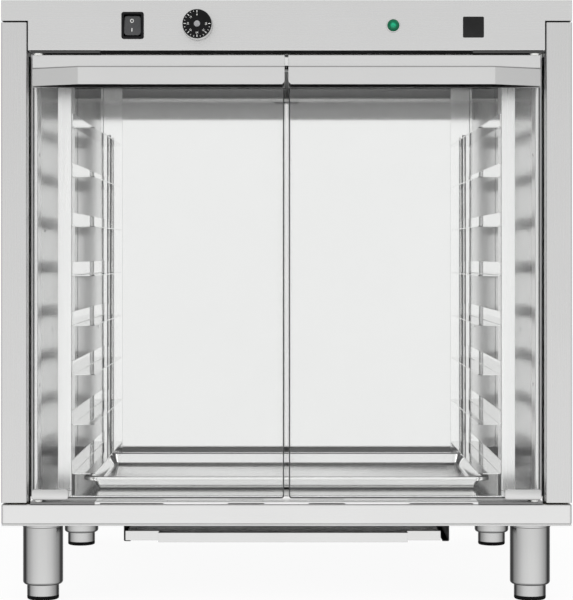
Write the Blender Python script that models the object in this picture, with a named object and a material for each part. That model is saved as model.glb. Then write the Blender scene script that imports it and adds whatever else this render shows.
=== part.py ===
# Proofing cabinet: a warm, humid chamber for baker's trays, with two glass doors on corner
# pivots, two welded racks of eight tray guides, a water pan, a drip tray and four screw feet.
# All lengths are in metres. X runs to the right as seen from the front, Y runs to the back and
# Z runs up from the floor. Depths are measured from the front face of the casing.
# The left side is the left as seen from the front.
import math

import bmesh
import bpy
from mathutils import Matrix, Vector

# Casing
cabinet_width = 0.784
cabinet_depth = 0.634
cabinet_height = 0.830
leg_height = 0.1098
apron_height = 0.0277
fascia_height = 0.0695
ear_height = 0.0282
post_width = 0.0355
rear_return = 0.0200
reveal = 0.0023
sheet = 0.0012
bend = 0.0020
gap = 0.0003
overrun = 0.0040
base_corner = 0.0040
base_lip = 0.0140
fascia_side_gap = 0.0015
fascia_side_return = 0.0120

# Chamber
frame_setback = 0.0400
frame_face = 0.0105
frame_return = 0.0390
header_drop = 0.0215
header_rise = 0.0145
ceiling_drop = 0.0035
floor_rise = 0.0095
floor_step = 0.0240
rear_space = 0.0340
duct_space = 0.0230
duct_hem = 0.0080
floor_air_slot = 0.0145
top_air_slot = 0.0160
top_insulation = 0.0165

# Drain sill and its slots
sill_front = 0.0020
drain_inner_start = 0.0308
drain_inner_end = 0.0802
drain_outer_length = 0.0866
drain_outer_inset = 0.0080
drain_slot_front = 0.0090
drain_slot_width = 0.0060
base_drain_front = 0.0140

# Doors
door_top_gap = 0.0051
door_side_gap = 0.0080
rail_centre_gap = 0.0052
glass_centre_gap = 0.0068
glass_thickness = 0.0060
glass_corner = 0.0040
glass_top_drop = 0.0174
hinge_inset = 0.0075
hinge_depth = 0.0052
rail_sheet = 0.0015
rail_band = 0.0184
hook_reach = 0.0350
hook_end_reach = 0.0030
lip_height = 0.0252
lip_notch = 0.0034
taper_length = 0.0655
clamp_sheet = 0.0010
clamp_height = 0.0437
clamp_rear_lift = 0.0030
rail_cover_overlap = 0.0016

# Pivots
bracket_width = 0.0503
bracket_height = 0.0144
bracket_overhang = 0.0019
bracket_sheet = 0.0014
bracket_chamfer = 0.0045
bracket_lift = 0.0062
lower_pin_diameter = 0.0056
lower_pin_length = 0.0107
upper_pin_diameter = 0.0040
upper_pin_length = 0.0115
pin_clearance = 0.0006
washer_diameter = 0.0130
bush_spigot = 0.0060
lower_plate_thickness = 0.0026
lower_plate_reach = 0.0925
plate_outer_gap = 0.0045
lower_plate_depth = 0.0233
upper_plate_thickness = 0.0027
upper_plate_reach = 0.1005
upper_plate_depth = 0.0297

# Door catch
catch_width = 0.0440
catch_plate = 0.0015
catch_rise = 0.0170
catch_shelf_front = 0.0140
magnet_width = 0.0400
magnet_height = 0.0048

# Tray racks
rack_standoff = 0.0427
rack_setback = 0.0050
upright_face = 0.0197
upright_leg = 0.0400
rear_upright_leg = 0.0300
guide_first = 0.0232
guide_pitch = 0.0700
guide_headroom = 0.0700
guide_flange = 0.0200
guide_shelf = 0.0317
guide_chamfer = 0.0060
rod_diameter = 0.0060
rod_inset = 0.0153
rod_rear_inset = 0.0679
rod_below = 0.0121
rod_above = 0.0141

# Water pan
pan_side_gap = 0.0143
pan_front = 0.0900
pan_length = 0.3560
pan_height = 0.0187
pan_rim = 0.0120
pan_rim_drop = 0.0027
pan_wall = 0.0010
pan_draft = 0.0040
pan_corner = 0.0240
pan_bottom_round = 0.0040

# Heating element in the air duct
element_diameter = 0.0085
element_side_gap = 0.1060
element_lift = 0.0250
element_pitch = 0.0220
element_runs = 4
element_tail = 0.0300
pad_width = 0.0120
pad_offset = 0.1500

# Drip tray and its housing
housing_side_inset = 0.1660
housing_height = 0.0270
housing_front = 0.0330
housing_length = 0.1820
housing_ledge = 0.0080
drip_height = 0.0130
drip_left_play = 0.0013
drip_right_play = 0.0109
drip_front = 0.0310
drip_grip_front = 0.0120
drip_grip_inset = 0.0540
drip_length = 0.1650
drip_hem = 0.0030

# Legs
leg_inset = 0.0517
leg_front = 0.0514
leg_rear = 0.0523
sleeve_diameter = 0.0557
sleeve_bottom = 0.0210
sleeve_round = 0.0045
sleeve_bore_top = 0.0720
foot_diameter = 0.0445
foot_top = 0.0680
foot_pad = 0.0040
foot_pad_inset = 0.0024
foot_clearance = 0.0004
stud_diameter = 0.0100
stud_length = 0.0060

# Controls
switch_inset = 0.1807
knob_spacing = 0.0894
lamp_inset = 0.2454
bezel_width = 0.0308
bezel_height = 0.0372
bezel_corner = 0.0034
bezel_thickness = 0.0022
switch_body_width = 0.0272
switch_body_height = 0.0336
switch_body_depth = 0.0220
switch_well_width = 0.0234
switch_well_height = 0.0306
switch_well_depth = 0.0120
rocker_width = 0.0226
rocker_height = 0.0272
rocker_pivot_depth = 0.0035
rocker_rise = 0.0062
rocker_dish = 0.0014
rocker_heel = 0.0030
rocker_heel_half = 0.0050
rocker_tilt_deg = -7.0
knob_reach = 0.0240
knob_front_diameter = 0.0397
knob_base_diameter = 0.0418
knob_edge = 0.0008
knob_cap_diameter = 0.0084
knob_cap_rise = 0.0004
knob_clear = 0.0010
shaft_diameter = 0.0060
shaft_reach = 0.0180
shaft_hole = 0.0100
thermostat_size = 0.0460
thermostat_depth = 0.0260
lamp_lens_diameter = 0.0160
lamp_ring_diameter = 0.0195
lamp_ring_height = 0.0022
lamp_dome = 0.0048
lamp_body_diameter = 0.0140
lamp_body_depth = 0.0250

# Back of the casing
gland_inset = 0.0720
gland_drop = 0.0080
gland_hex = 0.0240
gland_hex_height = 0.0050
gland_dome_diameter = 0.0190
gland_reach = 0.0200
gland_bore = 0.0080
gland_thread = 0.0160
gland_thread_length = 0.0100
vent_width = 0.0800
vent_height = 0.0040
vent_pitch = 0.0100
vent_rows = 3
vent_x = 0.0700
vent_drop = 0.0070
screw_head = 0.0090
screw_height = 0.0020
screw_crown_share = 0.5
screw_rows = 5

# Counts of facets
bend_steps = 3
corner_steps = 4
small_sides = 12
round_sides = 28

# Heights and depths that follow from the values above
half_width = cabinet_width / 2
base_top = leg_height + apron_height
side_bottom = base_top + reveal
ear_bottom = cabinet_height - ear_height
side_top = ear_bottom - reveal
fascia_bottom = cabinet_height - fascia_height
control_line = (fascia_bottom + cabinet_height) / 2
post_inner = half_width - post_width
fascia_half = post_inner - fascia_side_gap
chamber_half = post_inner - frame_face
header_bottom = fascia_bottom - header_drop
header_top = fascia_bottom + header_rise
ceiling = fascia_bottom - ceiling_drop
floor_top = base_top + floor_rise
frame_back = frame_setback + frame_return
back_face = cabinet_depth - rear_space
duct_face = back_face - duct_space
liner_front = frame_back + gap
liner_bottom = floor_top + gap

door_top = fascia_bottom - door_top_gap
door_edge = post_inner - door_side_gap
shelf_top = door_top - rail_band
lip_bottom = shelf_top - lip_height
hinge_x = door_edge - hinge_inset
clamp_front = rail_sheet + gap
glass_front = clamp_front + clamp_sheet + gap
glass_back = glass_front + glass_thickness
clamp_back = glass_back + gap + clamp_sheet
rail_back = clamp_back + rail_cover_overlap
clamp_top = door_top - rail_sheet - gap
bracket_bottom = base_top + bracket_lift
bracket_front = glass_front - gap - bracket_sheet
bracket_back = glass_back + gap + bracket_sheet
glass_bottom = bracket_bottom + bracket_sheet + gap
plate_outer = post_inner - plate_outer_gap
lower_plate_inner = post_inner - lower_plate_reach
lower_plate_bottom = base_top + gap
lower_plate_top = lower_plate_bottom + lower_plate_thickness
upper_plate_inner = post_inner - upper_plate_reach
upper_plate_top = fascia_bottom - gap
upper_plate_bottom = upper_plate_top - upper_plate_thickness
drain_outer_end = lower_plate_inner - drain_outer_inset
drain_outer_start = drain_outer_end - drain_outer_length

rack_inner = chamber_half - rack_standoff
rack_front = frame_back + rack_setback
guide_inner = rack_inner - guide_shelf
guide_face = rack_inner - gap
guide_back = duct_face - gap - sheet - gap - gap
rod_depth = guide_back - rod_rear_inset
lowest_guide = floor_top + guide_first
guide_room = ceiling - lowest_guide - guide_headroom
guide_count = int(guide_room / guide_pitch) + 1

pan_half_width = rack_inner - pan_side_gap
element_half_width = chamber_half - element_side_gap
element_depth = (duct_face + sheet + back_face) / 2
housing_half_width = half_width - housing_side_inset
housing_top = leg_height - gap
housing_bottom = leg_height - housing_height - gap
drip_grip_half_width = housing_half_width - drip_grip_inset
switch_x = switch_inset - half_width
knob_x = switch_x + knob_spacing
lamp_x = half_width - lamp_inset
gland_x = gland_inset - half_width
gland_line = fascia_bottom + fascia_height / 2 - gland_drop
panel_back = cabinet_depth - sheet - gap

# The origin lies under the middle of the overall box, from the door lips to the cable gland
front_y = (hook_reach - cabinet_depth - gland_reach) / 2

sides = (("left", -1), ("right", 1))


# Materials
def make_material(name, colour, roughness, metallic, transmission=0.0):
    material = bpy.data.materials.new(name)
    material.use_nodes = True
    shader = material.node_tree.nodes["Principled BSDF"]
    shader.inputs["Base Color"].default_value = (*colour, 1.0)
    shader.inputs["Roughness"].default_value = roughness
    shader.inputs["Metallic"].default_value = metallic
    shader.inputs["Transmission Weight"].default_value = transmission
    material.diffuse_color = (*colour, 1.0)
    return material


# Drawing a folded sheet
def rounded_path(path, thickness):
    """Replace each corner of a path by an arc, so that the outer side of the fold has radius bend."""
    points = [Vector(path[0])]
    for before, corner, after in zip(path, path[1:], path[2:]):
        centre_line = Vector(corner)
        toward_start = (Vector(before) - centre_line).normalized()
        toward_end = (Vector(after) - centre_line).normalized()
        left_turn = toward_start.cross(toward_end) < 0
        radius = bend if left_turn else bend - thickness
        half_angle = toward_start.angle(toward_end) / 2
        tangent = radius / math.tan(half_angle)
        middle = centre_line + (toward_start + toward_end).normalized() * radius / math.sin(half_angle)
        first = centre_line + toward_start * tangent - middle
        last = centre_line + toward_end * tangent - middle
        for step in range(bend_steps + 1):
            points.append(middle + first.slerp(last, step / bend_steps) * radius)
    points.append(Vector(path[-1]))
    return points


def offset_left(points, distance):
    """Shift a path to its left-hand side by a distance, with mitred corners."""
    normals = []
    for start, end in zip(points, points[1:]):
        run = (end - start).normalized()
        normals.append(Vector((-run.y, run.x)))
    shifted = []
    for index, point in enumerate(points):
        before = normals[max(index - 1, 0)]
        after = normals[min(index, len(normals) - 1)]
        shifted.append(point + (before + after) * distance / (1 + before.dot(after)))
    return shifted


def folded(path, thickness=sheet):
    """Outline of a folded sheet whose one face follows the path and whose thickness is on its left."""
    face = rounded_path(path, thickness)
    return face + offset_left(face, thickness)[::-1]


def mirrored(outline, sign):
    return [(sign * point[0], point[1]) for point in outline]


# Building solids
def loft(sections):
    """Closed solid through sections of equal length, capped at both ends."""
    bm = bmesh.new()
    loops = [[bm.verts.new(point) for point in section] for section in sections]
    for lower, upper in zip(loops, loops[1:]):
        for index in range(len(lower)):
            following = (index + 1) % len(lower)
            bm.faces.new((lower[index], lower[following], upper[following], upper[index]))
    bm.faces.new(loops[0])
    bm.faces.new(loops[-1])
    bmesh.ops.recalc_face_normals(bm, faces=bm.faces)
    return bm


def extrude(outline, axis, start, end):
    """Closed solid of an outline drawn square to an axis, from start to end along it."""
    place = {"X": lambda a, b, along: (along, a, b),
             "Y": lambda a, b, along: (a, along, b),
             "Z": lambda a, b, along: (a, b, along)}[axis]
    return loft([[place(point[0], point[1], along) for point in outline] for along in (start, end)])


def box(x_range, y_range, z_range):
    outline = [(x_range[0], y_range[0]), (x_range[1], y_range[0]),
               (x_range[1], y_range[1]), (x_range[0], y_range[1])]
    return extrude(outline, "Z", z_range[0], z_range[1])


def on_side(sign, inner, outer):
    """A range of X, given by its distances from the middle of the cabinet."""
    return sorted((sign * inner, sign * outer))


def turned(profile, centre, direction, sides_count=round_sides, bored=False):
    """Solid of revolution of (radius, distance) points about a line through centre."""
    bm = bmesh.new()
    turn = Vector((0, 0, 1)).rotation_difference(Vector(direction)).to_matrix()
    rings = []
    for radius, along in profile:
        count = sides_count if radius > 0 else 1
        ring = []
        for index in range(count):
            angle = math.tau * index / sides_count
            point = Vector((radius * math.cos(angle), radius * math.sin(angle), along))
            ring.append(bm.verts.new(Vector(centre) + turn @ point))
        rings.append(ring)
    pairs = list(zip(rings, rings[1:]))
    if bored:
        pairs.append((rings[-1], rings[0]))
    for lower, upper in pairs:
        for index in range(sides_count):
            following = (index + 1) % sides_count
            corners = [lower[index % len(lower)], lower[following % len(lower)],
                       upper[following % len(upper)], upper[index % len(upper)]]
            bm.faces.new(list(dict.fromkeys(corners)))
    bmesh.ops.recalc_face_normals(bm, faces=bm.faces)
    return bm


def cylinder(radius, centre, direction, start, end, sides_count=small_sides):
    profile = [(0, start), (radius, start), (radius, end), (0, end)]
    return turned(profile, centre, direction, sides_count)


def rounded_rectangle(x_range, y_range, radius):
    """Outline of a rectangle with arcs at its corners."""
    corners = [(x_range[1] - radius, y_range[1] - radius, 0), (x_range[0] + radius, y_range[1] - radius, 1),
               (x_range[0] + radius, y_range[0] + radius, 2), (x_range[1] - radius, y_range[0] + radius, 3)]
    points = []
    for x, y, quarter in corners:
        for step in range(corner_steps + 1):
            angle = math.pi / 2 * (quarter + step / corner_steps)
            points.append((x + radius * math.cos(angle), y + radius * math.sin(angle)))
    return points


def pan_shell(x_range, y_range, corner, outline):
    """Pressed pan: each (inset, height) point of its wall section runs round a rounded rectangle."""
    sections = []
    for inset, height in outline:
        radius = max(corner - inset, gap)
        inner_x = (x_range[0] + inset, x_range[1] - inset)
        inner_y = (y_range[0] + inset, y_range[1] - inset)
        sections.append([(x, y, height) for x, y in rounded_rectangle(inner_x, inner_y, radius)])
    return loft(sections)


def combine(operation, base, tools):
    """Boolean of one solid with several others."""
    def as_object(name, bm):
        mesh = bpy.data.meshes.new(name)
        bm.to_mesh(mesh)
        bm.free()
        made = bpy.data.objects.new(name, mesh)
        bpy.context.scene.collection.objects.link(made)
        return made

    base_object = as_object("base", base)
    tool_objects = [as_object("tool", tool) for tool in tools]
    for tool in tool_objects:
        modifier = base_object.modifiers.new("boolean", "BOOLEAN")
        modifier.operation = operation
        modifier.solver = "EXACT"
        modifier.object = tool
    evaluated = base_object.evaluated_get(bpy.context.evaluated_depsgraph_get())
    result = bmesh.new()
    result.from_mesh(evaluated.to_mesh())
    for used in (base_object, *tool_objects):
        mesh = used.data
        bpy.data.objects.remove(used)
        bpy.data.meshes.remove(mesh)
    return result


def cut(base, *tools):
    return combine("DIFFERENCE", base, tools)


def join(base, *tools):
    return combine("UNION", base, tools)


def make_pivot(name, location):
    empty = bpy.data.objects.new(name, None)
    bpy.context.scene.collection.objects.link(empty)
    empty.location = location
    return empty


def place(name, bm, material, pivot, smooth=False):
    """Name a solid drawn in the cabinet's frame and hang it on a pivot."""
    bmesh.ops.translate(bm, verts=bm.verts, vec=-(pivot.location if pivot.parent else Vector()))
    mesh = bpy.data.meshes.new(name)
    bm.to_mesh(mesh)
    bm.free()
    mesh.materials.append(material)
    if smooth:
        mesh.shade_smooth()
        mesh.set_sharp_from_angle(angle=math.radians(30))
    made = bpy.data.objects.new(name, mesh)
    bpy.context.scene.collection.objects.link(made)
    made.parent = pivot
    return made


for old in list(bpy.data.objects):
    bpy.data.objects.remove(old)

satin_steel = make_material("satin_steel", (0.66, 0.66, 0.65), 0.34, 1.0)
bright_steel = make_material("bright_steel", (0.80, 0.80, 0.79), 0.16, 1.0)
liner_steel = make_material("liner_steel", (0.74, 0.74, 0.73), 0.22, 1.0)
dark_steel = make_material("dark_steel", (0.10, 0.10, 0.10), 0.45, 1.0)
clear_glass = make_material("clear_glass", (0.93, 0.97, 0.96), 0.02, 0.0, 1.0)
black_plastic = make_material("black_plastic", (0.020, 0.020, 0.022), 0.40, 0.0)
grey_plastic = make_material("grey_plastic", (0.11, 0.11, 0.115), 0.22, 0.0)
green_lens = make_material("green_lens", (0.01, 0.33, 0.16), 0.12, 0.0)
wool = make_material("mineral_wool", (0.52, 0.47, 0.33), 0.95, 0.0)
white_nylon = make_material("white_nylon", (0.80, 0.80, 0.78), 0.45, 0.0)
heater_steel = make_material("heater_steel", (0.22, 0.21, 0.20), 0.50, 1.0)

cabinet = make_pivot("cabinet", (0, front_y, 0))


def make_joint_pivot(name, location):
    pivot = make_pivot(name, location)
    pivot.parent = cabinet
    return pivot


# Casing
def make_base_tray():
    """Folded base with the front apron; slots drain the sill, and round holes take studs and pins."""
    path = [(base_lip, base_top), (0, base_top), (0, leg_height), (base_lip + overrun, leg_height)]
    face = rounded_path(path, sheet)
    section = face[::-1] + offset_left(face, sheet)
    body = pan_shell((-half_width, half_width), (0, cabinet_depth), base_corner, section)
    through = (leg_height - overrun, leg_height + overrun)
    slot_depth = (base_drain_front, base_drain_front + drain_slot_width)
    holes = [box(on_side(sign, drain_inner_start, drain_inner_end), slot_depth, through) for _, sign in sides]
    stud_hole = stud_diameter / 2 + foot_clearance
    for x, y in leg_places():
        holes.append(cylinder(stud_hole, (x, y, leg_height), (0, 0, 1), -overrun, overrun))
    for _, sign in sides:
        centre = (sign * hinge_x, hinge_depth, base_top)
        radius = (lower_pin_diameter + pin_clearance) / 2
        holes.append(cylinder(radius, centre, (0, 0, 1), -overrun, overrun))
    place("base_tray", cut(body, *holes), satin_steel, cabinet)


def leg_places():
    leg_x = half_width - leg_inset
    return [(sign * leg_x, y) for y in (leg_front, cabinet_depth - leg_rear) for _, sign in sides]


def screw_heads(sign):
    """Heads of the screws that hold the rear return to the back panel."""
    x = sign * (half_width - rear_return / 2)
    span = side_top - side_bottom
    radius = screw_head / 2
    profile = [(0, screw_height), (radius * screw_crown_share, screw_height), (radius, screw_height / 2),
               (radius, -sheet / 2), (0, -sheet / 2)]
    heads = []
    for row in range(screw_rows):
        z = side_bottom + span * (row + 0.5) / screw_rows
        heads.append(turned(profile, (x, cabinet_depth, z), (0, 1, 0), small_sides))
    return heads


def make_side_panels():
    """Post face, post return, side wall and rear return folded from one sheet."""
    path = [(post_inner, frame_setback - gap), (post_inner, 0), (half_width, 0),
            (half_width, cabinet_depth), (half_width - rear_return, cabinet_depth)]
    for side, sign in sides:
        panel = extrude(mirrored(folded(path), sign), "Z", side_bottom, side_top)
        place("side_panel_" + side, join(panel, *screw_heads(sign)), satin_steel, cabinet)


def make_top_cover():
    """Lid with down-turned edges; its front edge is open behind the control compartment."""
    path = [(base_lip, cabinet_height), (0, cabinet_height), (0, ear_bottom)]
    front = sheet + gap
    body = pan_shell((-half_width, half_width), (front, cabinet_depth), base_corner, folded(path))
    window = box((-fascia_half - gap, fascia_half + gap), (front - overrun, front + overrun),
                 (ear_bottom - overrun, cabinet_height - bend - sheet))
    place("top_cover", cut(body, window), satin_steel, cabinet)


def make_back_panel():
    """Rear sheet behind the side returns, with cooling slots and the cable entry."""
    edge = half_width - base_lip
    top = cabinet_height - sheet - bend
    body = box((-edge, edge), (panel_back - sheet, panel_back), (base_top + gap, top))
    through = (panel_back - overrun, panel_back + overrun)
    tools = []
    for row in range(vent_rows):
        z = control_line - vent_drop - row * vent_pitch
        for _, sign in sides:
            x = sign * vent_x
            tools.append(box((x - vent_width / 2, x + vent_width / 2), through, (z - vent_height, z)))
    centre = (gland_x, panel_back, gland_line)
    tools.append(cylinder(gland_thread / 2 + gap, centre, (0, 1, 0), -overrun, overrun))
    place("back_panel", cut(body, *tools), satin_steel, cabinet)


def make_control_fascia():
    """Control panel with ears over the posts and a deep fold under it that meets the chamber frame."""
    path = [(0, cabinet_height), (0, fascia_bottom), (frame_setback - gap, fascia_bottom)]
    body = extrude(folded(path), "X", -fascia_half, fascia_half)
    ears = [box(on_side(sign, fascia_half - overrun, half_width), (0, sheet), (ear_bottom, cabinet_height))
            for _, sign in sides]
    returns = [box(on_side(sign, fascia_half - sheet, fascia_half), (sheet / 2, fascia_side_return),
                   (fascia_bottom + sheet / 2, ear_bottom)) for _, sign in sides]
    body = join(body, *ears, *returns)
    half_wide = switch_body_width / 2 + gap
    half_high = switch_body_height / 2 + gap
    switch_hole = box((switch_x - half_wide, switch_x + half_wide), (-overrun, overrun),
                      (control_line - half_high, control_line + half_high))
    back = (0, 1, 0)
    knob_hole = cylinder(shaft_hole / 2, (knob_x, 0, control_line), back, -overrun, overrun)
    lamp_radius = lamp_body_diameter / 2 + gap
    lamp_hole = cylinder(lamp_radius, (lamp_x, 0, control_line), back, -overrun, overrun)
    place("control_fascia", cut(body, switch_hole, knob_hole, lamp_hole), satin_steel, cabinet)


# Chamber
def make_door_frame():
    """Portal that the doors close in front of: two jambs and a header."""
    jamb_path = [(chamber_half, frame_back), (chamber_half, frame_setback),
                 (post_inner - gap, frame_setback)]
    jambs = [extrude(mirrored(folded(jamb_path), sign), "Z", liner_bottom, header_top)
             for _, sign in sides]
    header_path = [(frame_setback, header_top), (frame_setback, header_bottom),
                   (frame_back, header_bottom), (frame_back, ceiling - gap)]
    header_half = chamber_half + sheet / 2
    header = extrude(folded(header_path), "X", -header_half, header_half)
    place("door_frame", join(jambs[0], jambs[1], header), bright_steel, cabinet)


def make_drain_sill():
    """Gutter in front of the chamber floor; condensate from the doors leaves through its slots."""
    back = floor_step - gap
    half = lower_plate_inner - gap
    path = [(back, leg_height + sheet + gap), (back, lower_plate_top), (sill_front, lower_plate_top)]
    body = extrude(folded(path), "X", -half, half)
    tab_depth = (sill_front, sill_front + sheet)
    tab_height = (base_top + gap, lower_plate_top - gap)
    tabs = [box((-drain_inner_start, drain_inner_start), tab_depth, tab_height)]
    slot_depth = (drain_slot_front, drain_slot_front + drain_slot_width)
    through = (lower_plate_top - overrun, lower_plate_top + overrun)
    slots = []
    for _, sign in sides:
        tabs.append(box(on_side(sign, drain_inner_end, drain_outer_start), tab_depth, tab_height))
        tabs.append(box(on_side(sign, drain_outer_end, half), tab_depth, tab_height))
        slots.append(box(on_side(sign, drain_inner_start, drain_inner_end), slot_depth, through))
        slots.append(box(on_side(sign, drain_outer_start, drain_outer_end), slot_depth, through))
    place("drain_sill", cut(join(body, *tabs), *slots), bright_steel, cabinet)


def make_chamber_floor():
    """Inverted pan that stands in the base tray and carries the racks and the water pan."""
    path = [(base_lip, floor_top), (0, floor_top), (0, leg_height + sheet + gap)]
    half = post_inner - gap
    body = pan_shell((-half, half), (floor_step, back_face + sheet), bend, folded(path))
    place("chamber_floor", body, liner_steel, cabinet)


def make_liners():
    for side, sign in sides:
        wall = box(on_side(sign, chamber_half, chamber_half + sheet), (liner_front, back_face - gap),
                   (liner_bottom, ceiling - gap))
        place("liner_" + side, wall, liner_steel, cabinet)
    roof = box((-chamber_half - sheet, chamber_half + sheet), (liner_front, back_face - gap),
               (ceiling, ceiling + sheet))
    place("chamber_ceiling", roof, liner_steel, cabinet)


def element_top():
    return floor_top + element_lift + element_pitch * (element_runs - 1)


def make_duct():
    """False back wall and true back wall with the air duct between them, and pads for the element."""
    low = floor_top + floor_air_slot
    high = ceiling - top_air_slot
    hem = duct_face + duct_hem
    path = [(hem, high), (duct_face, high), (duct_face, low), (hem, low)]
    panel = extrude(folded(path), "X", -chamber_half + gap, chamber_half - gap)
    reach = element_diameter / 2 + gap
    pad_height = (floor_top + element_lift - element_diameter / 2, element_top() + element_diameter / 2)
    pad_ranges = [on_side(sign, pad_offset, pad_offset + pad_width) for _, sign in sides]
    front_depth = (duct_face + gap, element_depth - reach)
    back_depth = (element_depth + reach, back_face + gap)
    front_pads = [box(x_range, front_depth, pad_height) for x_range in pad_ranges]
    back_pads = [box(x_range, back_depth, pad_height) for x_range in pad_ranges]
    place("duct_panel", join(panel, *front_pads), liner_steel, cabinet)
    wall = box((-chamber_half - sheet, chamber_half + sheet), (back_face, back_face + sheet),
               (liner_bottom, ceiling + sheet))
    place("chamber_back", join(wall, *back_pads), liner_steel, cabinet)


def make_insulation():
    """Mineral wool blanket that wraps the sides, the back and the top of the chamber in one piece."""
    inner = chamber_half + sheet + gap
    outer = half_width - sheet - gap
    front = frame_setback + sheet + gap
    back = panel_back - sheet - gap
    wrap_top = ceiling + top_insulation
    body = box((-outer, outer), (front, back), (liner_bottom, wrap_top))
    chamber_space = box((-inner, inner), (front - overrun, back_face + sheet + gap),
                        (liner_bottom - overrun, ceiling + sheet + gap))
    frame_space = box((-inner, inner), (front - overrun, liner_front), (liner_bottom, wrap_top + overrun))
    place("insulation", cut(body, chamber_space, frame_space), wool, cabinet)


# Door hardware fixed to the cabinet
def make_hinge_plates():
    for side, sign in sides:
        centre = (sign * hinge_x, hinge_depth, 0)
        lower = box(on_side(sign, lower_plate_inner, plate_outer), (gap, gap + lower_plate_depth),
                    (lower_plate_bottom, lower_plate_top))
        hole_radius = (lower_pin_diameter + pin_clearance) / 2
        hole = cylinder(hole_radius, centre, (0, 0, 1), base_top, lower_plate_top + overrun)
        place("hinge_plate_bottom_" + side, cut(lower, hole), bright_steel, cabinet)
        upper = box(on_side(sign, upper_plate_inner, plate_outer), (gap, gap + upper_plate_depth),
                    (upper_plate_bottom, upper_plate_top))
        pin = cylinder(upper_pin_diameter / 2, centre, (0, 0, 1),
                       upper_plate_bottom - upper_pin_length, upper_plate_bottom + gap)
        place("hinge_plate_top_" + side, join(upper, pin), bright_steel, cabinet)


def make_catch():
    shelf = header_bottom + reveal
    back = frame_setback - gap
    path = [(catch_shelf_front, shelf), (back, shelf), (back, shelf + catch_rise)]
    bracket = extrude(folded(path, catch_plate), "X", -catch_width / 2, catch_width / 2)
    place("catch_bracket", bracket, bright_steel, cabinet)
    magnet = box((-magnet_width / 2, magnet_width / 2), (clamp_back + gap, frame_setback - bend),
                 (shelf - gap - magnet_height, shelf - gap))
    place("catch_magnet", magnet, black_plastic, cabinet)


# Doors
def rail_section(x, reach, lip_end):
    path = [(rail_back, door_top), (0, door_top), (0, shelf_top), (-reach, shelf_top), (-reach, lip_end)]
    return [(x, point[0], point[1]) for point in folded(path, rail_sheet)]


def make_door(side, sign):
    """Glass leaf held by a folded hook rail and clamp above and by a corner bracket below."""
    pivot = make_joint_pivot("door_" + side + "_axis", (sign * hinge_x, hinge_depth, 0))
    rail_start = rail_centre_gap / 2
    rail_end = door_edge
    pin_line = (sign * hinge_x, hinge_depth, 0)
    sections = [rail_section(sign * rail_start, hook_reach, lip_bottom + lip_notch),
                rail_section(sign * (rail_start + lip_notch), hook_reach, lip_bottom),
                rail_section(sign * (rail_end - taper_length), hook_reach, lip_bottom),
                rail_section(sign * rail_end, hook_end_reach, lip_bottom)]
    spigot_hole = cylinder(bush_spigot / 2 + gap, pin_line, (0, 0, 1), clamp_top, door_top + overrun)
    place("door_rail_" + side, cut(loft(sections), spigot_hole), satin_steel, pivot)

    clamp_path = [(clamp_back, clamp_top - clamp_height + clamp_rear_lift), (clamp_back, clamp_top),
                  (clamp_front, clamp_top), (clamp_front, clamp_top - clamp_height)]
    clamp_range = on_side(sign, rail_start + gap, rail_end - gap)
    clamp = extrude(folded(clamp_path, clamp_sheet), "X", *clamp_range)
    bore = upper_pin_diameter / 2 + gap
    pin_hole = cylinder(bore, pin_line, (0, 0, 1), clamp_top - bend, clamp_top + overrun)
    place("rail_clamp_" + side, cut(clamp, pin_hole), satin_steel, pivot)

    inner = glass_centre_gap / 2
    glass_top = door_top - glass_top_drop
    outline = rounded_rectangle((inner, door_edge), (glass_bottom, glass_top), glass_corner)
    glass = extrude(mirrored(outline, sign), "Y", glass_front, glass_back)
    place("door_glass_" + side, glass, clear_glass, pivot)

    bush_bottom = door_top - rail_sheet
    bush_top = upper_plate_bottom - gap
    profile = [(bore, bush_bottom), (bush_spigot / 2, bush_bottom), (bush_spigot / 2, door_top + gap),
               (washer_diameter / 2, door_top + gap), (washer_diameter / 2, bush_top), (bore, bush_top)]
    place("rail_bush_" + side, turned(profile, pin_line, (0, 0, 1), small_sides, bored=True),
          white_nylon, pivot, smooth=True)
    make_bracket(side, sign, pivot)


def make_bracket(side, sign, pivot):
    """Folded clamp under the outer corner of the glass, with the lower hinge pin."""
    outer = door_edge + bracket_overhang
    inner = outer - bracket_width
    top = bracket_bottom + bracket_height
    path = [(bracket_front, top), (bracket_front, bracket_bottom),
            (bracket_back, bracket_bottom), (bracket_back, top)]
    body = extrude(folded(path, bracket_sheet), "X", *on_side(sign, inner, outer))
    pin_line = (sign * hinge_x, hinge_depth, 0)
    pin = cylinder(lower_pin_diameter / 2, pin_line, (0, 0, 1),
                   bracket_bottom - lower_pin_length, bracket_bottom + bracket_sheet / 2)
    corners = []
    for x, z, size in ((inner, top, bracket_chamfer), (outer, top, bracket_chamfer / 2)):
        inward = 1 if x == inner else -1
        triangle = mirrored([(x - inward * size, z - 2 * size), (x + 2 * inward * size, z + size),
                             (x - inward * size, z + size)], sign)
        corners.append(extrude(triangle, "Y", bracket_front - overrun, bracket_back + overrun))
    place("hinge_bracket_" + side, cut(join(body, pin), *corners), satin_steel, pivot)
    bore = (lower_pin_diameter + pin_clearance) / 2
    low = lower_plate_top + gap
    high = bracket_bottom - gap
    profile = [(bore, low), (washer_diameter / 2, low), (washer_diameter / 2, high), (bore, high)]
    place("hinge_washer_" + side, turned(profile, pin_line, (0, 0, 1), small_sides, bored=True),
          white_nylon, pivot, smooth=True)


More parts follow.
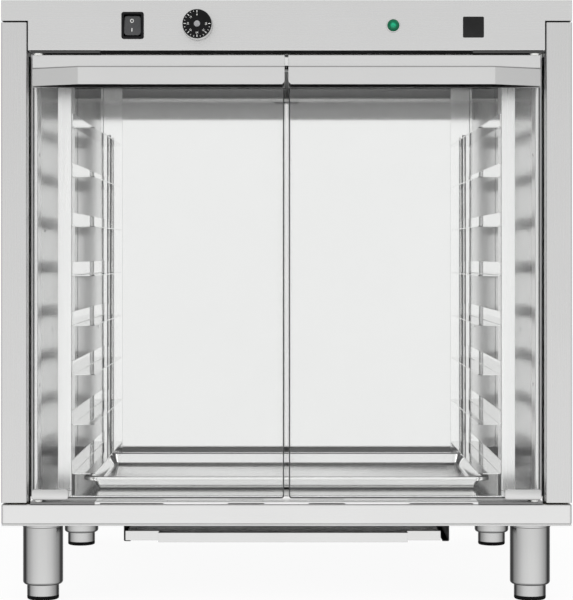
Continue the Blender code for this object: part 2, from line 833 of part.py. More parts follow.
# Tray racks
def make_rack(side, sign):
    """Two uprights, and between them the L-shaped guides on the rod that stops the trays."""
    front_path = [(rack_inner, rack_front + upright_leg), (rack_inner, rack_front),
                  (rack_inner + upright_face, rack_front)]
    front = extrude(mirrored(folded(front_path), sign), "Z", liner_bottom, ceiling - gap)
    place("rack_front_upright_" + side, front, bright_steel, cabinet)
    rear_face = guide_back + gap
    rear_path = [(guide_inner, rear_face), (rack_inner, rear_face),
                 (rack_inner, rear_face - rear_upright_leg)]
    rear = extrude(mirrored(folded(rear_path), sign), "Z", liner_bottom, ceiling - gap)
    place("rack_rear_upright_" + side, rear, bright_steel, cabinet)

    rod_x = rack_inner - rod_inset
    rod_line = (sign * rod_x, rod_depth, 0)
    rod_top = lowest_guide + (guide_count - 1) * guide_pitch + rod_above
    rod = cylinder(rod_diameter / 2, rod_line, (0, 0, 1), lowest_guide - rod_below, rod_top)
    guides = []
    for level in range(guide_count):
        shelf = lowest_guide + level * guide_pitch
        path = [(guide_inner, shelf), (guide_face, shelf), (guide_face, shelf + guide_flange)]
        guide = extrude(mirrored(folded(path), sign), "Y", rack_front, guide_back)
        tip = [(guide_inner - overrun, rack_front - overrun),
               (guide_inner + guide_chamfer, rack_front - overrun),
               (guide_inner + guide_chamfer, rack_front), (guide_inner, rack_front + guide_chamfer),
               (guide_inner - overrun, rack_front + guide_chamfer)]
        corner = extrude(mirrored(tip, sign), "Z", shelf - overrun, shelf + overrun)
        guides.append(cut(guide, corner))
    place("rack_guides_" + side, join(rod, *guides), bright_steel, cabinet, smooth=True)


# Water pan
def make_water_pan():
    """Pressed pan with a rolled rim, drawn as the section of its wall from the outside bottom inwards."""
    pivot = make_joint_pivot("water_pan_axis", (0, pan_front, floor_top))
    bottom = floor_top + gap
    rim_top = bottom + pan_height
    rim = pan_rim
    foot = rim + pan_draft
    drop = rim_top - pan_rim_drop
    section = [(foot + pan_bottom_round, bottom), (foot, bottom + pan_bottom_round),
               (rim, rim_top - pan_wall), (pan_wall, rim_top - pan_wall), (pan_wall, drop),
               (0, drop), (0, rim_top - pan_wall), (pan_wall, rim_top), (rim + pan_wall, rim_top),
               (foot + pan_wall, bottom + pan_bottom_round),
               (foot + pan_bottom_round + pan_wall, bottom + pan_wall)]
    depth_range = (pan_front, pan_front + pan_length)
    pan = pan_shell((-pan_half_width, pan_half_width), depth_range, pan_corner, section)
    place("water_pan", pan, liner_steel, pivot)


# Heating element
def make_heating_element():
    """Tubular heater bent into runs one above another in the duct."""
    points = []
    turn_radius = element_pitch / 2
    bend_points = 8
    start_x = -element_half_width - element_tail
    for run in range(element_runs):
        z = floor_top + element_lift + run * element_pitch
        direction = 1 if run % 2 == 0 else -1
        first_x = start_x if run == 0 else -direction * element_half_width
        last_x = start_x if run == element_runs - 1 else direction * element_half_width
        points += [(first_x, z), (last_x, z)]
        if run < element_runs - 1:
            for step in range(1, bend_points):
                angle = math.pi * step / bend_points
                points.append((last_x + direction * turn_radius * math.sin(angle),
                               z + turn_radius - turn_radius * math.cos(angle)))
    curve = bpy.data.curves.new("heating_element", "CURVE")
    curve.dimensions = "3D"
    curve.bevel_depth = element_diameter / 2
    curve.bevel_resolution = 1
    curve.use_fill_caps = True
    spline = curve.splines.new("POLY")
    spline.points.add(len(points) - 1)
    for target, (x, z) in zip(spline.points, points):
        target.co = (x, element_depth, z, 1)
    curve.materials.append(heater_steel)
    element = bpy.data.objects.new("heating_element", curve)
    bpy.context.scene.collection.objects.link(element)
    element.parent = cabinet


# Drip tray under the base
def drip_outline(inset, left, right, back):
    """T-shaped plan: the middle of the front comes forward as a grip."""
    middle = (left + right) / 2
    grip = drip_grip_half_width - inset
    return [(left + inset, drip_front + inset), (middle - grip, drip_front + inset),
            (middle - grip, drip_grip_front + inset), (middle + grip, drip_grip_front + inset),
            (middle + grip, drip_front + inset), (right - inset, drip_front + inset),
            (right - inset, back - inset), (left + inset, back - inset)]


def make_drip_tray():
    pivot = make_joint_pivot("drip_tray_axis", (0, drip_grip_front, housing_bottom))
    ledge_top = housing_bottom + sheet
    bottom = ledge_top + gap
    inner_half = housing_half_width - sheet
    left = -inner_half + drip_left_play
    right = inner_half - drip_right_play
    back = drip_front + drip_length
    top = bottom + drip_height
    levels = [(0, bottom), (0, top), (drip_hem, top), (drip_hem, top - sheet),
              (sheet, top - sheet), (sheet, bottom + sheet)]
    sections = [[(x, y, z) for x, y in drip_outline(inset, left, right, back)] for inset, z in levels]
    place("drip_tray", loft(sections), satin_steel, pivot)

    ledge = inner_half - housing_ledge
    inside_top = housing_top - sheet
    side_path = [(-ledge, ledge_top), (-inner_half, ledge_top), (-inner_half, inside_top),
                 (inner_half, inside_top), (inner_half, ledge_top), (ledge, ledge_top)]
    end = housing_front + housing_length
    shell = extrude(folded(side_path), "Y", housing_front, end)
    wall = box((-inner_half - gap, inner_half + gap), (end - sheet, end),
               (ledge_top + gap, housing_top - gap))
    place("tray_housing", join(shell, wall), dark_steel, cabinet)


# Legs
def make_legs():
    names = ["front_left", "front_right", "rear_left", "rear_right"]
    sleeve = sleeve_diameter / 2
    bore = foot_diameter / 2 + foot_clearance
    top = leg_height - gap
    stud = stud_diameter / 2
    shoulder = []
    for step in range(bend_steps + 1):
        angle = math.pi / 2 * step / bend_steps
        shoulder.append((sleeve - sleeve_round + sleeve_round * math.cos(angle),
                         sleeve_bottom + sleeve_round - sleeve_round * math.sin(angle)))
    sleeve_profile = [(0, top + stud_length), (stud, top + stud_length), (stud, top), (sleeve - gap, top),
                      (sleeve, top - bend), *shoulder, (bore, sleeve_bottom), (bore, sleeve_bore_top),
                      (0, sleeve_bore_top)]
    foot = foot_diameter / 2
    foot_profile = [(0, foot_top), (foot, foot_top), (foot, foot_pad),
                    (foot - foot_pad_inset / 2, foot_pad / 4), (foot - foot_pad_inset, 0), (0, 0)]
    for name, (x, y) in zip(names, leg_places()):
        sleeve_body = turned(sleeve_profile, (x, y, 0), (0, 0, 1))
        place("leg_sleeve_" + name, sleeve_body, satin_steel, cabinet, smooth=True)
        pivot = make_joint_pivot("foot_" + name + "_axis", (x, y, 0))
        foot_body = turned(foot_profile, (x, y, 0), (0, 0, 1))
        place("foot_" + name, foot_body, satin_steel, pivot, smooth=True)


# Controls
def make_switch():
    bezel_x = (switch_x - bezel_width / 2, switch_x + bezel_width / 2)
    bezel_z = (control_line - bezel_height / 2, control_line + bezel_height / 2)
    plate = extrude(rounded_rectangle(bezel_x, bezel_z, bezel_corner), "Y", -bezel_thickness - gap, -gap)
    body = box((switch_x - switch_body_width / 2, switch_x + switch_body_width / 2),
               (-bezel_thickness / 2, switch_body_depth),
               (control_line - switch_body_height / 2, control_line + switch_body_height / 2))
    well = box((switch_x - switch_well_width / 2, switch_x + switch_well_width / 2),
               (-bezel_thickness - overrun, switch_well_depth),
               (control_line - switch_well_height / 2, control_line + switch_well_height / 2))
    place("switch_bezel", cut(join(plate, body), well), black_plastic, cabinet)

    pivot = make_joint_pivot("switch_rocker_axis", (switch_x, rocker_pivot_depth, control_line))
    half = rocker_height / 2
    tilt = Matrix.Rotation(math.radians(rocker_tilt_deg), 2)
    outline = []
    for y, z in ((-rocker_rise, -half), (-rocker_rise + rocker_dish, -half / 2),
                 (-rocker_rise + rocker_dish + gap, 0), (-rocker_rise + rocker_dish, half / 2),
                 (-rocker_rise, half), (0, half), (rocker_heel, rocker_heel_half),
                 (rocker_heel, -rocker_heel_half), (0, -half)):
        turned_point = tilt @ Vector((y, z))
        outline.append((rocker_pivot_depth + turned_point.x, control_line + turned_point.y))
    rocker = extrude(outline, "X", switch_x - rocker_width / 2, switch_x + rocker_width / 2)
    place("switch_rocker", rocker, grey_plastic, pivot)


def make_thermostat():
    forward = (0, -1, 0)
    centre = (knob_x, 0, control_line)
    half = thermostat_size / 2
    behind = sheet + gap
    body = box((knob_x - half, knob_x + half), (behind, behind + thermostat_depth),
               (control_line - half, control_line + half))
    shaft = cylinder(shaft_diameter / 2, centre, forward, -behind - gap, shaft_reach)
    place("thermostat_body", join(body, shaft), grey_plastic, cabinet)
    pivot = make_joint_pivot("thermostat_knob_axis", centre)
    bore = shaft_diameter / 2 + gap
    front = knob_front_diameter / 2
    profile = [(0, knob_reach + knob_cap_rise), (knob_cap_diameter / 2, knob_reach + knob_cap_rise),
               (knob_cap_diameter / 2 + gap, knob_reach), (front - knob_edge, knob_reach),
               (front, knob_reach - knob_edge), (knob_base_diameter / 2, knob_clear), (bore, knob_clear),
               (bore, shaft_reach + gap), (0, shaft_reach + gap)]
    place("thermostat_knob", turned(profile, centre, forward), black_plastic, pivot, smooth=True)


def make_lamp():
    lens = lamp_lens_diameter / 2
    ring = lamp_ring_diameter / 2
    body = lamp_body_diameter / 2
    profile = [(0, lamp_dome)]
    for step in range(1, bend_steps + 1):
        angle = math.pi / 2 * step / bend_steps
        height = lamp_ring_height + (lamp_dome - lamp_ring_height) * math.cos(angle)
        profile.append((lens * math.sin(angle), height))
    profile += [(ring - gap, lamp_ring_height), (ring, lamp_ring_height / 2), (ring, gap), (body, gap),
                (body, -lamp_body_depth), (0, -lamp_body_depth)]
    lamp = turned(profile, (lamp_x, 0, control_line), (0, -1, 0), small_sides * 2)
    place("pilot_lamp", lamp, green_lens, cabinet, smooth=True)


# Back of the casing
def make_gland():
    bore = gland_bore / 2
    face = panel_back + gap - cabinet_depth
    hex_end = face + gland_hex_height
    dome = gland_dome_diameter / 2
    inside = face - sheet - gland_thread_length
    profile = [(bore, inside), (gland_thread / 2, inside), (gland_thread / 2, face),
               (gland_hex / 2, face), (gland_hex / 2, hex_end), (dome, hex_end),
               (dome, gland_reach - bend), (dome - bend, gland_reach), (bore, gland_reach)]
    centre = (gland_x, cabinet_depth, gland_line)
    gland = turned(profile, centre, (0, 1, 0), small_sides, bored=True)
    place("cable_gland", gland, black_plastic, cabinet, smooth=True)


make_base_tray()
make_side_panels()
make_top_cover()
make_back_panel()
make_control_fascia()
make_door_frame()
make_drain_sill()
make_chamber_floor()
make_liners()
make_duct()
make_insulation()
make_hinge_plates()
make_catch()
make_water_pan()
make_heating_element()
make_drip_tray()
make_legs()
make_switch()
make_thermostat()
make_lamp()
make_gland()
for side_name, side_sign in sides:
    make_door(side_name, side_sign)
    make_rack(side_name, side_sign)
bpy.context.view_layer.update()
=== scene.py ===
import math

import bmesh
import bpy
import numpy as np
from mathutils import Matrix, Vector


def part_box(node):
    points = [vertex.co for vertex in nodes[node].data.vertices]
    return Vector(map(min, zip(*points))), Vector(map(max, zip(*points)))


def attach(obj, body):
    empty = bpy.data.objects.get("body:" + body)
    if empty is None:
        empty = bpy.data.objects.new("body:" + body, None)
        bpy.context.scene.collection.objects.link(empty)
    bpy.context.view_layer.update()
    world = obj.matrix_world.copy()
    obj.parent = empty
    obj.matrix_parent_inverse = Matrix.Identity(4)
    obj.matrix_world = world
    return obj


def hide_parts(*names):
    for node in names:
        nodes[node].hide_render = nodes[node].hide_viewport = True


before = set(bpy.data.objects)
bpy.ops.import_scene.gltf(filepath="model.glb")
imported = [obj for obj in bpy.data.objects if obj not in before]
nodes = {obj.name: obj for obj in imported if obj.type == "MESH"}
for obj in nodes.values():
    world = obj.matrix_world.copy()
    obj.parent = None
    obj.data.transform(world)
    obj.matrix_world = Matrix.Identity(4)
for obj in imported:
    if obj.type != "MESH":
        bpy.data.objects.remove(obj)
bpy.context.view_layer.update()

# The dressed proofing cabinet. Metres throughout, X to the right, Y to the back, Z up.
# CAD nodes keep their shape and get a finish; where finer forms are needed, surfaces worked
# out with numpy stand in for a node or are added to its body.

scene = bpy.context.scene
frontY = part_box("control_fascia")[0].y  # front face of the casing
print("cabinet loaded:", len(nodes), "nodes")

cameraView = {
    "distance": 2.780,  # from the front face of the casing
    "height": 0.4815,
    "lens": 121.48,
    "shiftDown": 0.0767,  # the photo was framed lower than the lens axis
}


def setCamera():
    data = bpy.data.cameras.new("photoCamera")
    data.sensor_width = 36.0
    data.lens = cameraView["lens"]
    data.shift_y = -cameraView["shiftDown"]
    data.clip_start, data.clip_end = 0.05, 60.0
    camera = bpy.data.objects.new("photoCamera", data)
    camera.location = (0.0, frontY - cameraView["distance"], cameraView["height"])
    camera.rotation_euler = (math.pi / 2, 0.0, 0.0)
    scene.collection.objects.link(camera)
    scene.camera = camera


roomLight = {
    # brightness of the room round the horizon: 1 is straight in front of the doors, 0 behind the back
    "roundTheRoom": [(0.000, 0.50), (0.100, 0.38), (0.300, 0.34), (0.420, 0.42), (0.585, 0.58),
                     (0.820, 0.86), (1.000, 1.00)],
    "overhead": 0.86,  # brightness well above the horizon
    "underfoot": 0.42,  # and well below it
    "low": 1.18,  # factor a little below the horizon
    "high": 0.82,  # and a little above it
    "steep": (0.35, 0.70),  # height of a direction where the horizon gives way to the poles
    "poleSpan": 0.30,  # height over which underfoot turns into overhead
    "liftSpan": 0.25,  # and low into high
    "floorColour": (0.93, 0.93, 0.93),
    "floorRoughness": 0.8,
    "floorReach": 9.0,
    "floorGlow": 0.93,  # share of the floor that shows as plain white
    "softBoxes": [  # name, place, turn in degrees, size, power
        ("overheadBox", (0.0, -0.4, 2.6), (0, 0, 0), (2.4, 2.0), 20.0),
        ("leftBox", (-2.3, -1.9, 1.5), (62, 0, -50), (1.3, 1.9), 13.0),
        ("rightBox", (2.3, -1.9, 1.5), (62, 0, 50), (1.3, 1.9), 11.0),
    ],
}


# a new material, its node tree and its main shader
def newMaterial(name):
    material = bpy.data.materials.new(name)
    material.use_nodes = True
    return material, material.node_tree, material.node_tree.nodes["Principled BSDF"]


# adds a shader node; inputs are given by socket name with underscores for blanks
def newNode(tree, kind, **inputs):
    node = tree.nodes.new(kind)
    for key, value in inputs.items():
        node.inputs[key.replace("_", " ")].default_value = value
    return node


# links or sets inputs in their order
def fillInputs(tree, sockets, values):
    for socket, value in zip(sockets, values):
        if isinstance(value, bpy.types.NodeSocket):
            tree.links.new(value, socket)
        elif value is not None:
            socket.default_value = value


def mathNode(tree, operation, a, b=None):
    node = tree.nodes.new("ShaderNodeMath")
    node.operation = operation
    fillInputs(tree, node.inputs, (a, b))
    return node.outputs[0]


def vectorMath(tree, operation, a, b=None):
    node = tree.nodes.new("ShaderNodeVectorMath")
    node.operation = operation
    fillInputs(tree, node.inputs, (a, b))
    return node.outputs["Value" if operation in ("DOT_PRODUCT", "LENGTH") else "Vector"]


# the X, Y and Z of a vector
def axesOf(tree, vector):
    node = tree.nodes.new("ShaderNodeSeparateXYZ")
    tree.links.new(vector, node.inputs[0])
    return node.outputs


# carries a value over to another range
def scaled(tree, value, low, high, fromLow=0.3, fromHigh=0.7, smooth=False):
    node = newNode(tree, "ShaderNodeMapRange", From_Min=fromLow, From_Max=fromHigh, To_Min=low, To_Max=high)
    node.interpolation_type = "SMOOTHSTEP" if smooth else "LINEAR"
    tree.links.new(value, node.inputs["Value"])
    return node.outputs["Result"]


# 1 on rays that come from the camera or through glass
def seenOrThrough(tree, path):
    return mathNode(tree, "MAXIMUM", path.outputs["Is Camera Ray"], path.outputs["Is Transmission Ray"])


# the same, without a bounce in between
def seenStraight(tree):
    path = tree.nodes.new("ShaderNodeLightPath")
    bounced = mathNode(tree, "ADD", path.outputs["Glossy Depth"], path.outputs["Diffuse Depth"])
    straight = mathNode(tree, "LESS_THAN", bounced, 0.5)
    return mathNode(tree, "MULTIPLY", seenOrThrough(tree, path), straight)


# white page for the camera; metal, glass and dull surfaces see a studio that is light in front,
# dimmer at the sides, and a little lighter again behind
def buildRoom():
    world = bpy.data.worlds.new("studio")
    world.use_nodes = True
    scene.world = world
    tree = world.node_tree
    tree.nodes.clear()
    direction = tree.nodes.new("ShaderNodeTexCoord").outputs["Generated"]
    compass = vectorMath(tree, "NORMALIZE", vectorMath(tree, "MULTIPLY", direction, (1.0, 1.0, 0.0)))
    facing = vectorMath(tree, "DOT_PRODUCT", compass, (0.0, -1.0, 0.0))
    ramp = tree.nodes.new("ShaderNodeValToRGB")
    stops = ramp.color_ramp.elements
    for index, (position, value) in enumerate(roomLight["roundTheRoom"]):
        stop = stops[index] if index < 2 else stops.new(position)
        stop.position = position
        stop.color = (value, value, value, 1.0)
    tree.links.new(scaled(tree, facing, 0.0, 1.0, -1.0, 1.0), ramp.inputs[0])
    height = axesOf(tree, direction)["Z"]
    poleSpan, liftSpan = roomLight["poleSpan"], roomLight["liftSpan"]
    steep = scaled(tree, mathNode(tree, "ABSOLUTE", height), 0.0, 1.0, *roomLight["steep"], True)
    poles = scaled(tree, height, roomLight["underfoot"], roomLight["overhead"], -poleSpan, poleSpan)
    lift = scaled(tree, height, roomLight["low"], roomLight["high"], -liftSpan, liftSpan)
    level = mathNode(tree, "MULTIPLY", ramp.outputs[0], mathNode(tree, "SUBTRACT", 1.0, steep))
    studio = mathNode(tree, "ADD", mathNode(tree, "MULTIPLY", level, lift),
                      mathNode(tree, "MULTIPLY", steep, poles))
    seen = seenStraight(tree)
    strength = mathNode(tree, "MULTIPLY", studio, mathNode(tree, "SUBTRACT", 1.0, seen))
    shown = newNode(tree, "ShaderNodeBackground", Color=(1.0, 1.0, 1.0, 1.0))
    tree.links.new(mathNode(tree, "ADD", strength, seen), shown.inputs["Strength"])
    output = tree.nodes.new("ShaderNodeOutputWorld")
    tree.links.new(shown.outputs[0], output.inputs["Surface"])


def buildFloor():
    mesh = bpy.data.meshes.new("studioFloor")
    reach = roomLight["floorReach"]
    mesh.from_pydata([(-reach, -reach, 0), (reach, -reach, 0), (reach, reach, 0), (-reach, reach, 0)],
                     [], [(0, 1, 2, 3)])
    floor = bpy.data.objects.new("studioFloor", mesh)
    scene.collection.objects.link(floor)
    floor.visible_glossy = False
    paint, tree, base = newMaterial("paleFloor")
    base.inputs["Base Color"].default_value = (*roomLight["floorColour"], 1.0)
    base.inputs["Roughness"].default_value = roomLight["floorRoughness"]
    base.inputs["Specular IOR Level"].default_value = 0.0
    glow = newNode(tree, "ShaderNodeEmission", Color=(1.0, 1.0, 1.0, 1.0), Strength=1.0)
    mix = tree.nodes.new("ShaderNodeMixShader")
    seen = seenOrThrough(tree, tree.nodes.new("ShaderNodeLightPath"))
    tree.links.new(mathNode(tree, "MULTIPLY", seen, roomLight["floorGlow"]), mix.inputs[0])
    tree.links.new(base.outputs[0], mix.inputs[1])
    tree.links.new(glow.outputs[0], mix.inputs[2])
    tree.links.new(mix.outputs[0], tree.nodes["Material Output"].inputs["Surface"])
    mesh.materials.append(paint)


def hangLamps():
    for name, place, turn, size, power in roomLight["softBoxes"]:
        data = bpy.data.lights.new(name, "AREA")
        data.shape = "RECTANGLE"
        data.size, data.size_y = size
        data.energy = power
        lamp = bpy.data.objects.new(name, data)
        lamp.location = place
        lamp.rotation_euler = [math.radians(angle) for angle in turn]
        lamp.visible_glossy = False  # metal shows the studio, not the lamps
        scene.collection.objects.link(lamp)


setCamera()
buildRoom()
buildFloor()
hangLamps()
scene.view_settings.view_transform = "Standard"
print("camera and room ready")

# colour, roughness, grain direction, share of streaks, bump, mottling, edge width, tone of the painted edge
# (below 1 painted edge shade, above 1 painted edge highlight)
steelLooks = {
    "fasciaSteel": (0.690, 0.26, "X", 0.20, 0.018, 0.010, 0.0005, 1.12),
    "postSteel": (0.650, 0.26, "Z", 0.20, 0.018, 0.010, 0.0005, 0.80),
    "apronSteel": (0.740, 0.24, "X", 0.18, 0.018, 0.010, 0.0005, 0.55),
    "coverSteel": (0.700, 0.24, "Y", 0.20, 0.018, 0.010, 0.0005, 1.08),
    "bracketSteel": (0.640, 0.22, "X", 0.18, 0.016, 0.012, 0.0006, 0.30),
    "frameSteel": (0.900, 0.30, "Z", 0.10, 0.010, 0.015, 0.0005, 0.60),
    "linerSteel": (0.640, 0.16, "Z", 0.12, 0.010, 0.020, 0.0005, 0.50),
    "floorSteel": (0.900, 0.12, "X", 0.08, 0.008, 0.020, 0.0005, 0.45),
    "wallSteel": (0.850, 0.035, "Z", 0.03, 0.004, 0.006, 0.0005, 0.75),
    "rackSteel": (0.940, 0.050, "Y", 0.04, 0.004, 0.006, 0.0007, 0.30),
    "uprightSteel": (0.965, 0.30, "Z", 0.04, 0.006, 0.006, 0.0006, 0.30),
    "rearSteel": (0.870, 0.06, "Z", 0.04, 0.006, 0.006, 0.0006, 0.35),
    "catchSteel": (0.740, 0.08, "X", 0.04, 0.006, 0.006, 0.0003, 0.70),
    "panSteel": (0.950, 0.10, "X", 0.06, 0.008, 0.020, 0.0004, 0.70),
    "trayMetal": (0.700, 0.20, "X", 0.15, 0.015, 0.015, 0.0004, 0.60),
    "knobSteel": (0.640, 0.20, "ring", 0.25, 0.018, 0.020, 0.0005, 0.30),
    # the hinge plates are painted dark: painted shade for the shadowed gaps below and above the doors
    "lowerHingeShade": (0.220, 0.30, "X", 0.15, 0.020, 0.030, 0.0003, 0.60),
    "upperHingeShade": (0.090, 0.35, "X", 0.15, 0.020, 0.030, 0.0003, 1.20),
    "screwSteel": (0.640, 0.22, "ring", 0.15, 0.020, 0.030, 0.0003, 0.50),
    "collarSteel": (0.740, 0.22, "ring", 0.10, 0.015, 0.020, 0.0004, 0.25),
    "heaterSteel": (0.240, 0.45, "ring", 0.30, 0.060, 0.120, 0.0003, 1.10),
    # the tray housing is painted near black: painted shade for the shadow round the drip tray
    "housingPaintedShade": (0.060, 0.42, "Y", 0.30, 0.040, 0.100, 0.0004, 1.20),
}
# painted reflection on round bars: steel as above; where the painted dark side of a bar starts and ends, its
# colour, the painted light colour of the back
roundLooks = {
    "darkSidedRod": ((0.620, 0.10, "Z", 0.10, 0.010, 0.010, 0.0003, 1.00), 0.18, 0.50, 0.07, 0.95),
    "darkSidedLeg": ((0.560, 0.17, "Z", 0.30, 0.022, 0.030, 0.0004, 0.70), 0.36, 0.54, 0.02, None),
}
railLooks = {
    "doorRailSteel": (0.700, 0.20, "X", 0.18, 0.016, 0.010, 0.0004, 0.85),
    # the clamp's dark colour is painted shade, for the shadow of the lip in front of it
    "doorClampSteel": (0.300, 0.12, "X", 0.15, 0.012, 0.020, 0.0003, 0.80),
}
# painted shade on the rail: colours of the faces turned to the back, of the cut ends and of the fold line;
# its height and width;
# how far a normal points forwards, back or sideways where each colour starts and where it is full
railPaintedShade = {"rear": 0.400, "ends": 0.220, "fold": 0.260, "foldHeight": 0.7357, "foldWidth": 0.0012,
               "forwards": (-0.4, -0.8), "back": (0.5, 0.8), "sideways": (0.80, 0.95)}
paintedBackLightSpan = (0.05, 0.25)  # the same for the painted light on the back of a bar
# where the bevelled normal agrees less with the flat one, an edge starts, and further down it is full
edgeSense = {"samples": 4, "start": 0.995, "full": 0.80}
# what all steel shares: tone of a streak, share of blue, strength of the painted edge shade and highlight,
# spread of the roughness, depth of the grain, size of the clouds, noise levels where a streak is full and
# where it ends
brushing = {"streakTone": 0.90, "blue": 0.995, "edgeLightStrength": 0.8, "spread": 0.15, "depth": 0.0004,
            "clouds": (9, 9, 9), "streakFull": 0.3, "streakEnd": 0.6}
grainScales = {"X": (4, 900, 900), "Y": (900, 4, 900), "Z": (900, 900, 4), "ring": (9, 9, 1300)}
# the thin sheet at the back of the chamber is dished, so its normals lean towards its middle,
# sideways only within the half width; what stands on it looks the same
dishedSheet = {"finishes": ("wallSteel", "rearSteel", "catchSteel"), "middle": (0.0, 0.0, 0.540),
               "bow": 0.168, "halfWidth": 0.3055}


def stretchedNoise(tree, coords, scale, detail=3.0):
    mapping = newNode(tree, "ShaderNodeMapping", Scale=scale)
    tree.links.new(coords, mapping.inputs["Vector"])
    noise = newNode(tree, "ShaderNodeTexNoise", Scale=1.0, Detail=detail, Roughness=0.6)
    tree.links.new(mapping.outputs[0], noise.inputs["Vector"])
    return noise.outputs["Fac"]


# first colour x (1 - share) + second colour x share
def blended(tree, share, first, second):
    node = tree.nodes.new("ShaderNodeMix")
    node.data_type = "RGBA"
    tree.links.new(share, node.inputs[0])
    colours = [value if isinstance(value, bpy.types.NodeSocket) else (*value, 1.0)
               for value in (first, second)]
    fillInputs(tree, [socket for socket in node.inputs if socket.type == "RGBA"], colours)
    return [socket for socket in node.outputs if socket.type == "RGBA"][0]


# 1 where the surface turns over an edge: there the bevelled normal leaves the flat one
def edgeMask(tree, width):
    bevel = newNode(tree, "ShaderNodeBevel", Radius=width)
    bevel.samples = edgeSense["samples"]
    flat = tree.nodes.new("ShaderNodeNewGeometry").outputs["Normal"]
    agreement = vectorMath(tree, "DOT_PRODUCT", bevel.outputs[0], flat)
    return scaled(tree, agreement, 1.0, 0.0, edgeSense["full"], edgeSense["start"]), bevel.outputs[0]


# brushed steel: fine noise stretched along the grain drives streaks, gloss and relief; edges get painted
# shade where the edge tone is below 1 and a painted highlight where it is above
def steelFinish(name, look):
    colour, roughness, grainWay, streaks, relief, mottle, edge, paintedEdgeTone = look
    material, tree, shader = newMaterial(name)
    shader.inputs["Metallic"].default_value = 1.0
    coords = tree.nodes.new("ShaderNodeTexCoord").outputs["Object"]
    grain = stretchedNoise(tree, coords, grainScales[grainWay])
    cloud = stretchedNoise(tree, coords, brushing["clouds"], 4.0)
    low, high, streak = [(tone, tone, tone * brushing["blue"]) for tone in
                         (colour * (1 - mottle), colour * (1 + mottle), colour * brushing["streakTone"])]
    body = blended(tree, scaled(tree, cloud, 0.0, 1.0), low, high)
    streaked = scaled(tree, grain, streaks, 0.0, brushing["streakFull"], brushing["streakEnd"])
    body = blended(tree, streaked, body, streak)
    # painted edge light: below 1 the tone darkens edges as painted shade, above 1 it lightens them as a
    # painted highlight
    mask, bevelled = edgeMask(tree, edge)
    paintedEdgeLight = min(colour * paintedEdgeTone, 0.97)
    body = blended(tree, mathNode(tree, "MULTIPLY", mask, brushing["edgeLightStrength"]), body, (paintedEdgeLight, paintedEdgeLight, paintedEdgeLight))
    tree.links.new(body, shader.inputs["Base Color"])
    smoother, rougher = roughness * (1 - brushing["spread"]), roughness * (1 + brushing["spread"])
    tree.links.new(scaled(tree, grain, smoother, rougher), shader.inputs["Roughness"])
    bump = newNode(tree, "ShaderNodeBump", Strength=relief, Distance=brushing["depth"])
    tree.links.new(grain, bump.inputs["Height"])
    tree.links.new(bevelled, bump.inputs["Normal"])
    dished = name in dishedSheet["finishes"]
    normal = dishedNormal(tree, coords, bump.outputs[0]) if dished else bump.outputs[0]
    tree.links.new(normal, shader.inputs["Normal"])
    return material


# leans a normal towards the middle of the sheet: normal - bow x offset from the middle
def dishedNormal(tree, coords, normal):
    offset = axesOf(tree, vectorMath(tree, "SUBTRACT", coords, dishedSheet["middle"]))
    inside = mathNode(tree, "LESS_THAN", mathNode(tree, "ABSOLUTE", offset["X"]), dishedSheet["halfWidth"])
    lean = tree.nodes.new("ShaderNodeCombineXYZ")
    leanX = mathNode(tree, "MULTIPLY", offset["X"], -dishedSheet["bow"])
    tree.links.new(mathNode(tree, "MULTIPLY", leanX, inside), lean.inputs["X"])
    tree.links.new(mathNode(tree, "MULTIPLY", offset["Z"], -dishedSheet["bow"]), lean.inputs["Z"])
    return vectorMath(tree, "NORMALIZE", vectorMath(tree, "ADD", normal, lean.outputs[0]))


# painted reflection: the sides of a round bar are painted dark, standing in for their mirror image of the
# gaps beside it; if asked, its back is painted light
def roundFinish(name, look, start, end, paintedSideShade, rear):
    material = steelFinish(name, look)
    tree = material.node_tree
    shader = tree.nodes["Principled BSDF"]
    turned = newNode(tree, "ShaderNodeLayerWeight", Blend=0.5).outputs["Facing"]
    lit = shader.inputs["Base Color"].links[0].from_socket
    # painted reflection: sides darkened towards the silhouette
    body = blended(tree, scaled(tree, turned, 0.0, 1.0, start, end), lit, (paintedSideShade, paintedSideShade, paintedSideShade))
    if rear is not None:
        normal = axesOf(tree, tree.nodes.new("ShaderNodeTexCoord").outputs["Normal"])
        # painted light on the faces turned to the back
        body = blended(tree, scaled(tree, normal["Y"], 0.0, 1.0, *paintedBackLightSpan), body, (rear, rear, rear))
    tree.links.new(body, shader.inputs["Base Color"])
    return material


# door rail: brushed outside, with painted shade: grey on the faces towards the chamber, dark at its cut ends
# and in a line along the fold
def railFinish(name, look):
    material = steelFinish(name, look)
    tree = material.node_tree
    shader = tree.nodes["Principled BSDF"]
    body = shader.inputs["Base Color"].links[0].from_socket
    coords = tree.nodes.new("ShaderNodeTexCoord")
    normal = axesOf(tree, coords.outputs["Normal"])
    height = axesOf(tree, coords.outputs["Object"])["Z"]
    away = mathNode(tree, "ABSOLUTE", mathNode(tree, "SUBTRACT", height, railPaintedShade["foldHeight"]))
    line = scaled(tree, away, 1.0, 0.0, 0.0, railPaintedShade["foldWidth"], True)
    front = scaled(tree, normal["Y"], 0.0, 1.0, *railPaintedShade["forwards"])
    fold = mathNode(tree, "MULTIPLY", front, line)
    rear = scaled(tree, normal["Y"], 0.0, 1.0, *railPaintedShade["back"])
    ends = scaled(tree, mathNode(tree, "ABSOLUTE", normal["X"]), 0.0, 1.0, *railPaintedShade["sideways"])
    # painted shade on the fold line, the faces towards the chamber and the cut ends
    for share, tone in ((fold, "fold"), (rear, "rear"), (ends, "ends")):
        body = blended(tree, share, body, (railPaintedShade[tone],) * 3)
    tree.links.new(body, shader.inputs["Base Color"])
    return material


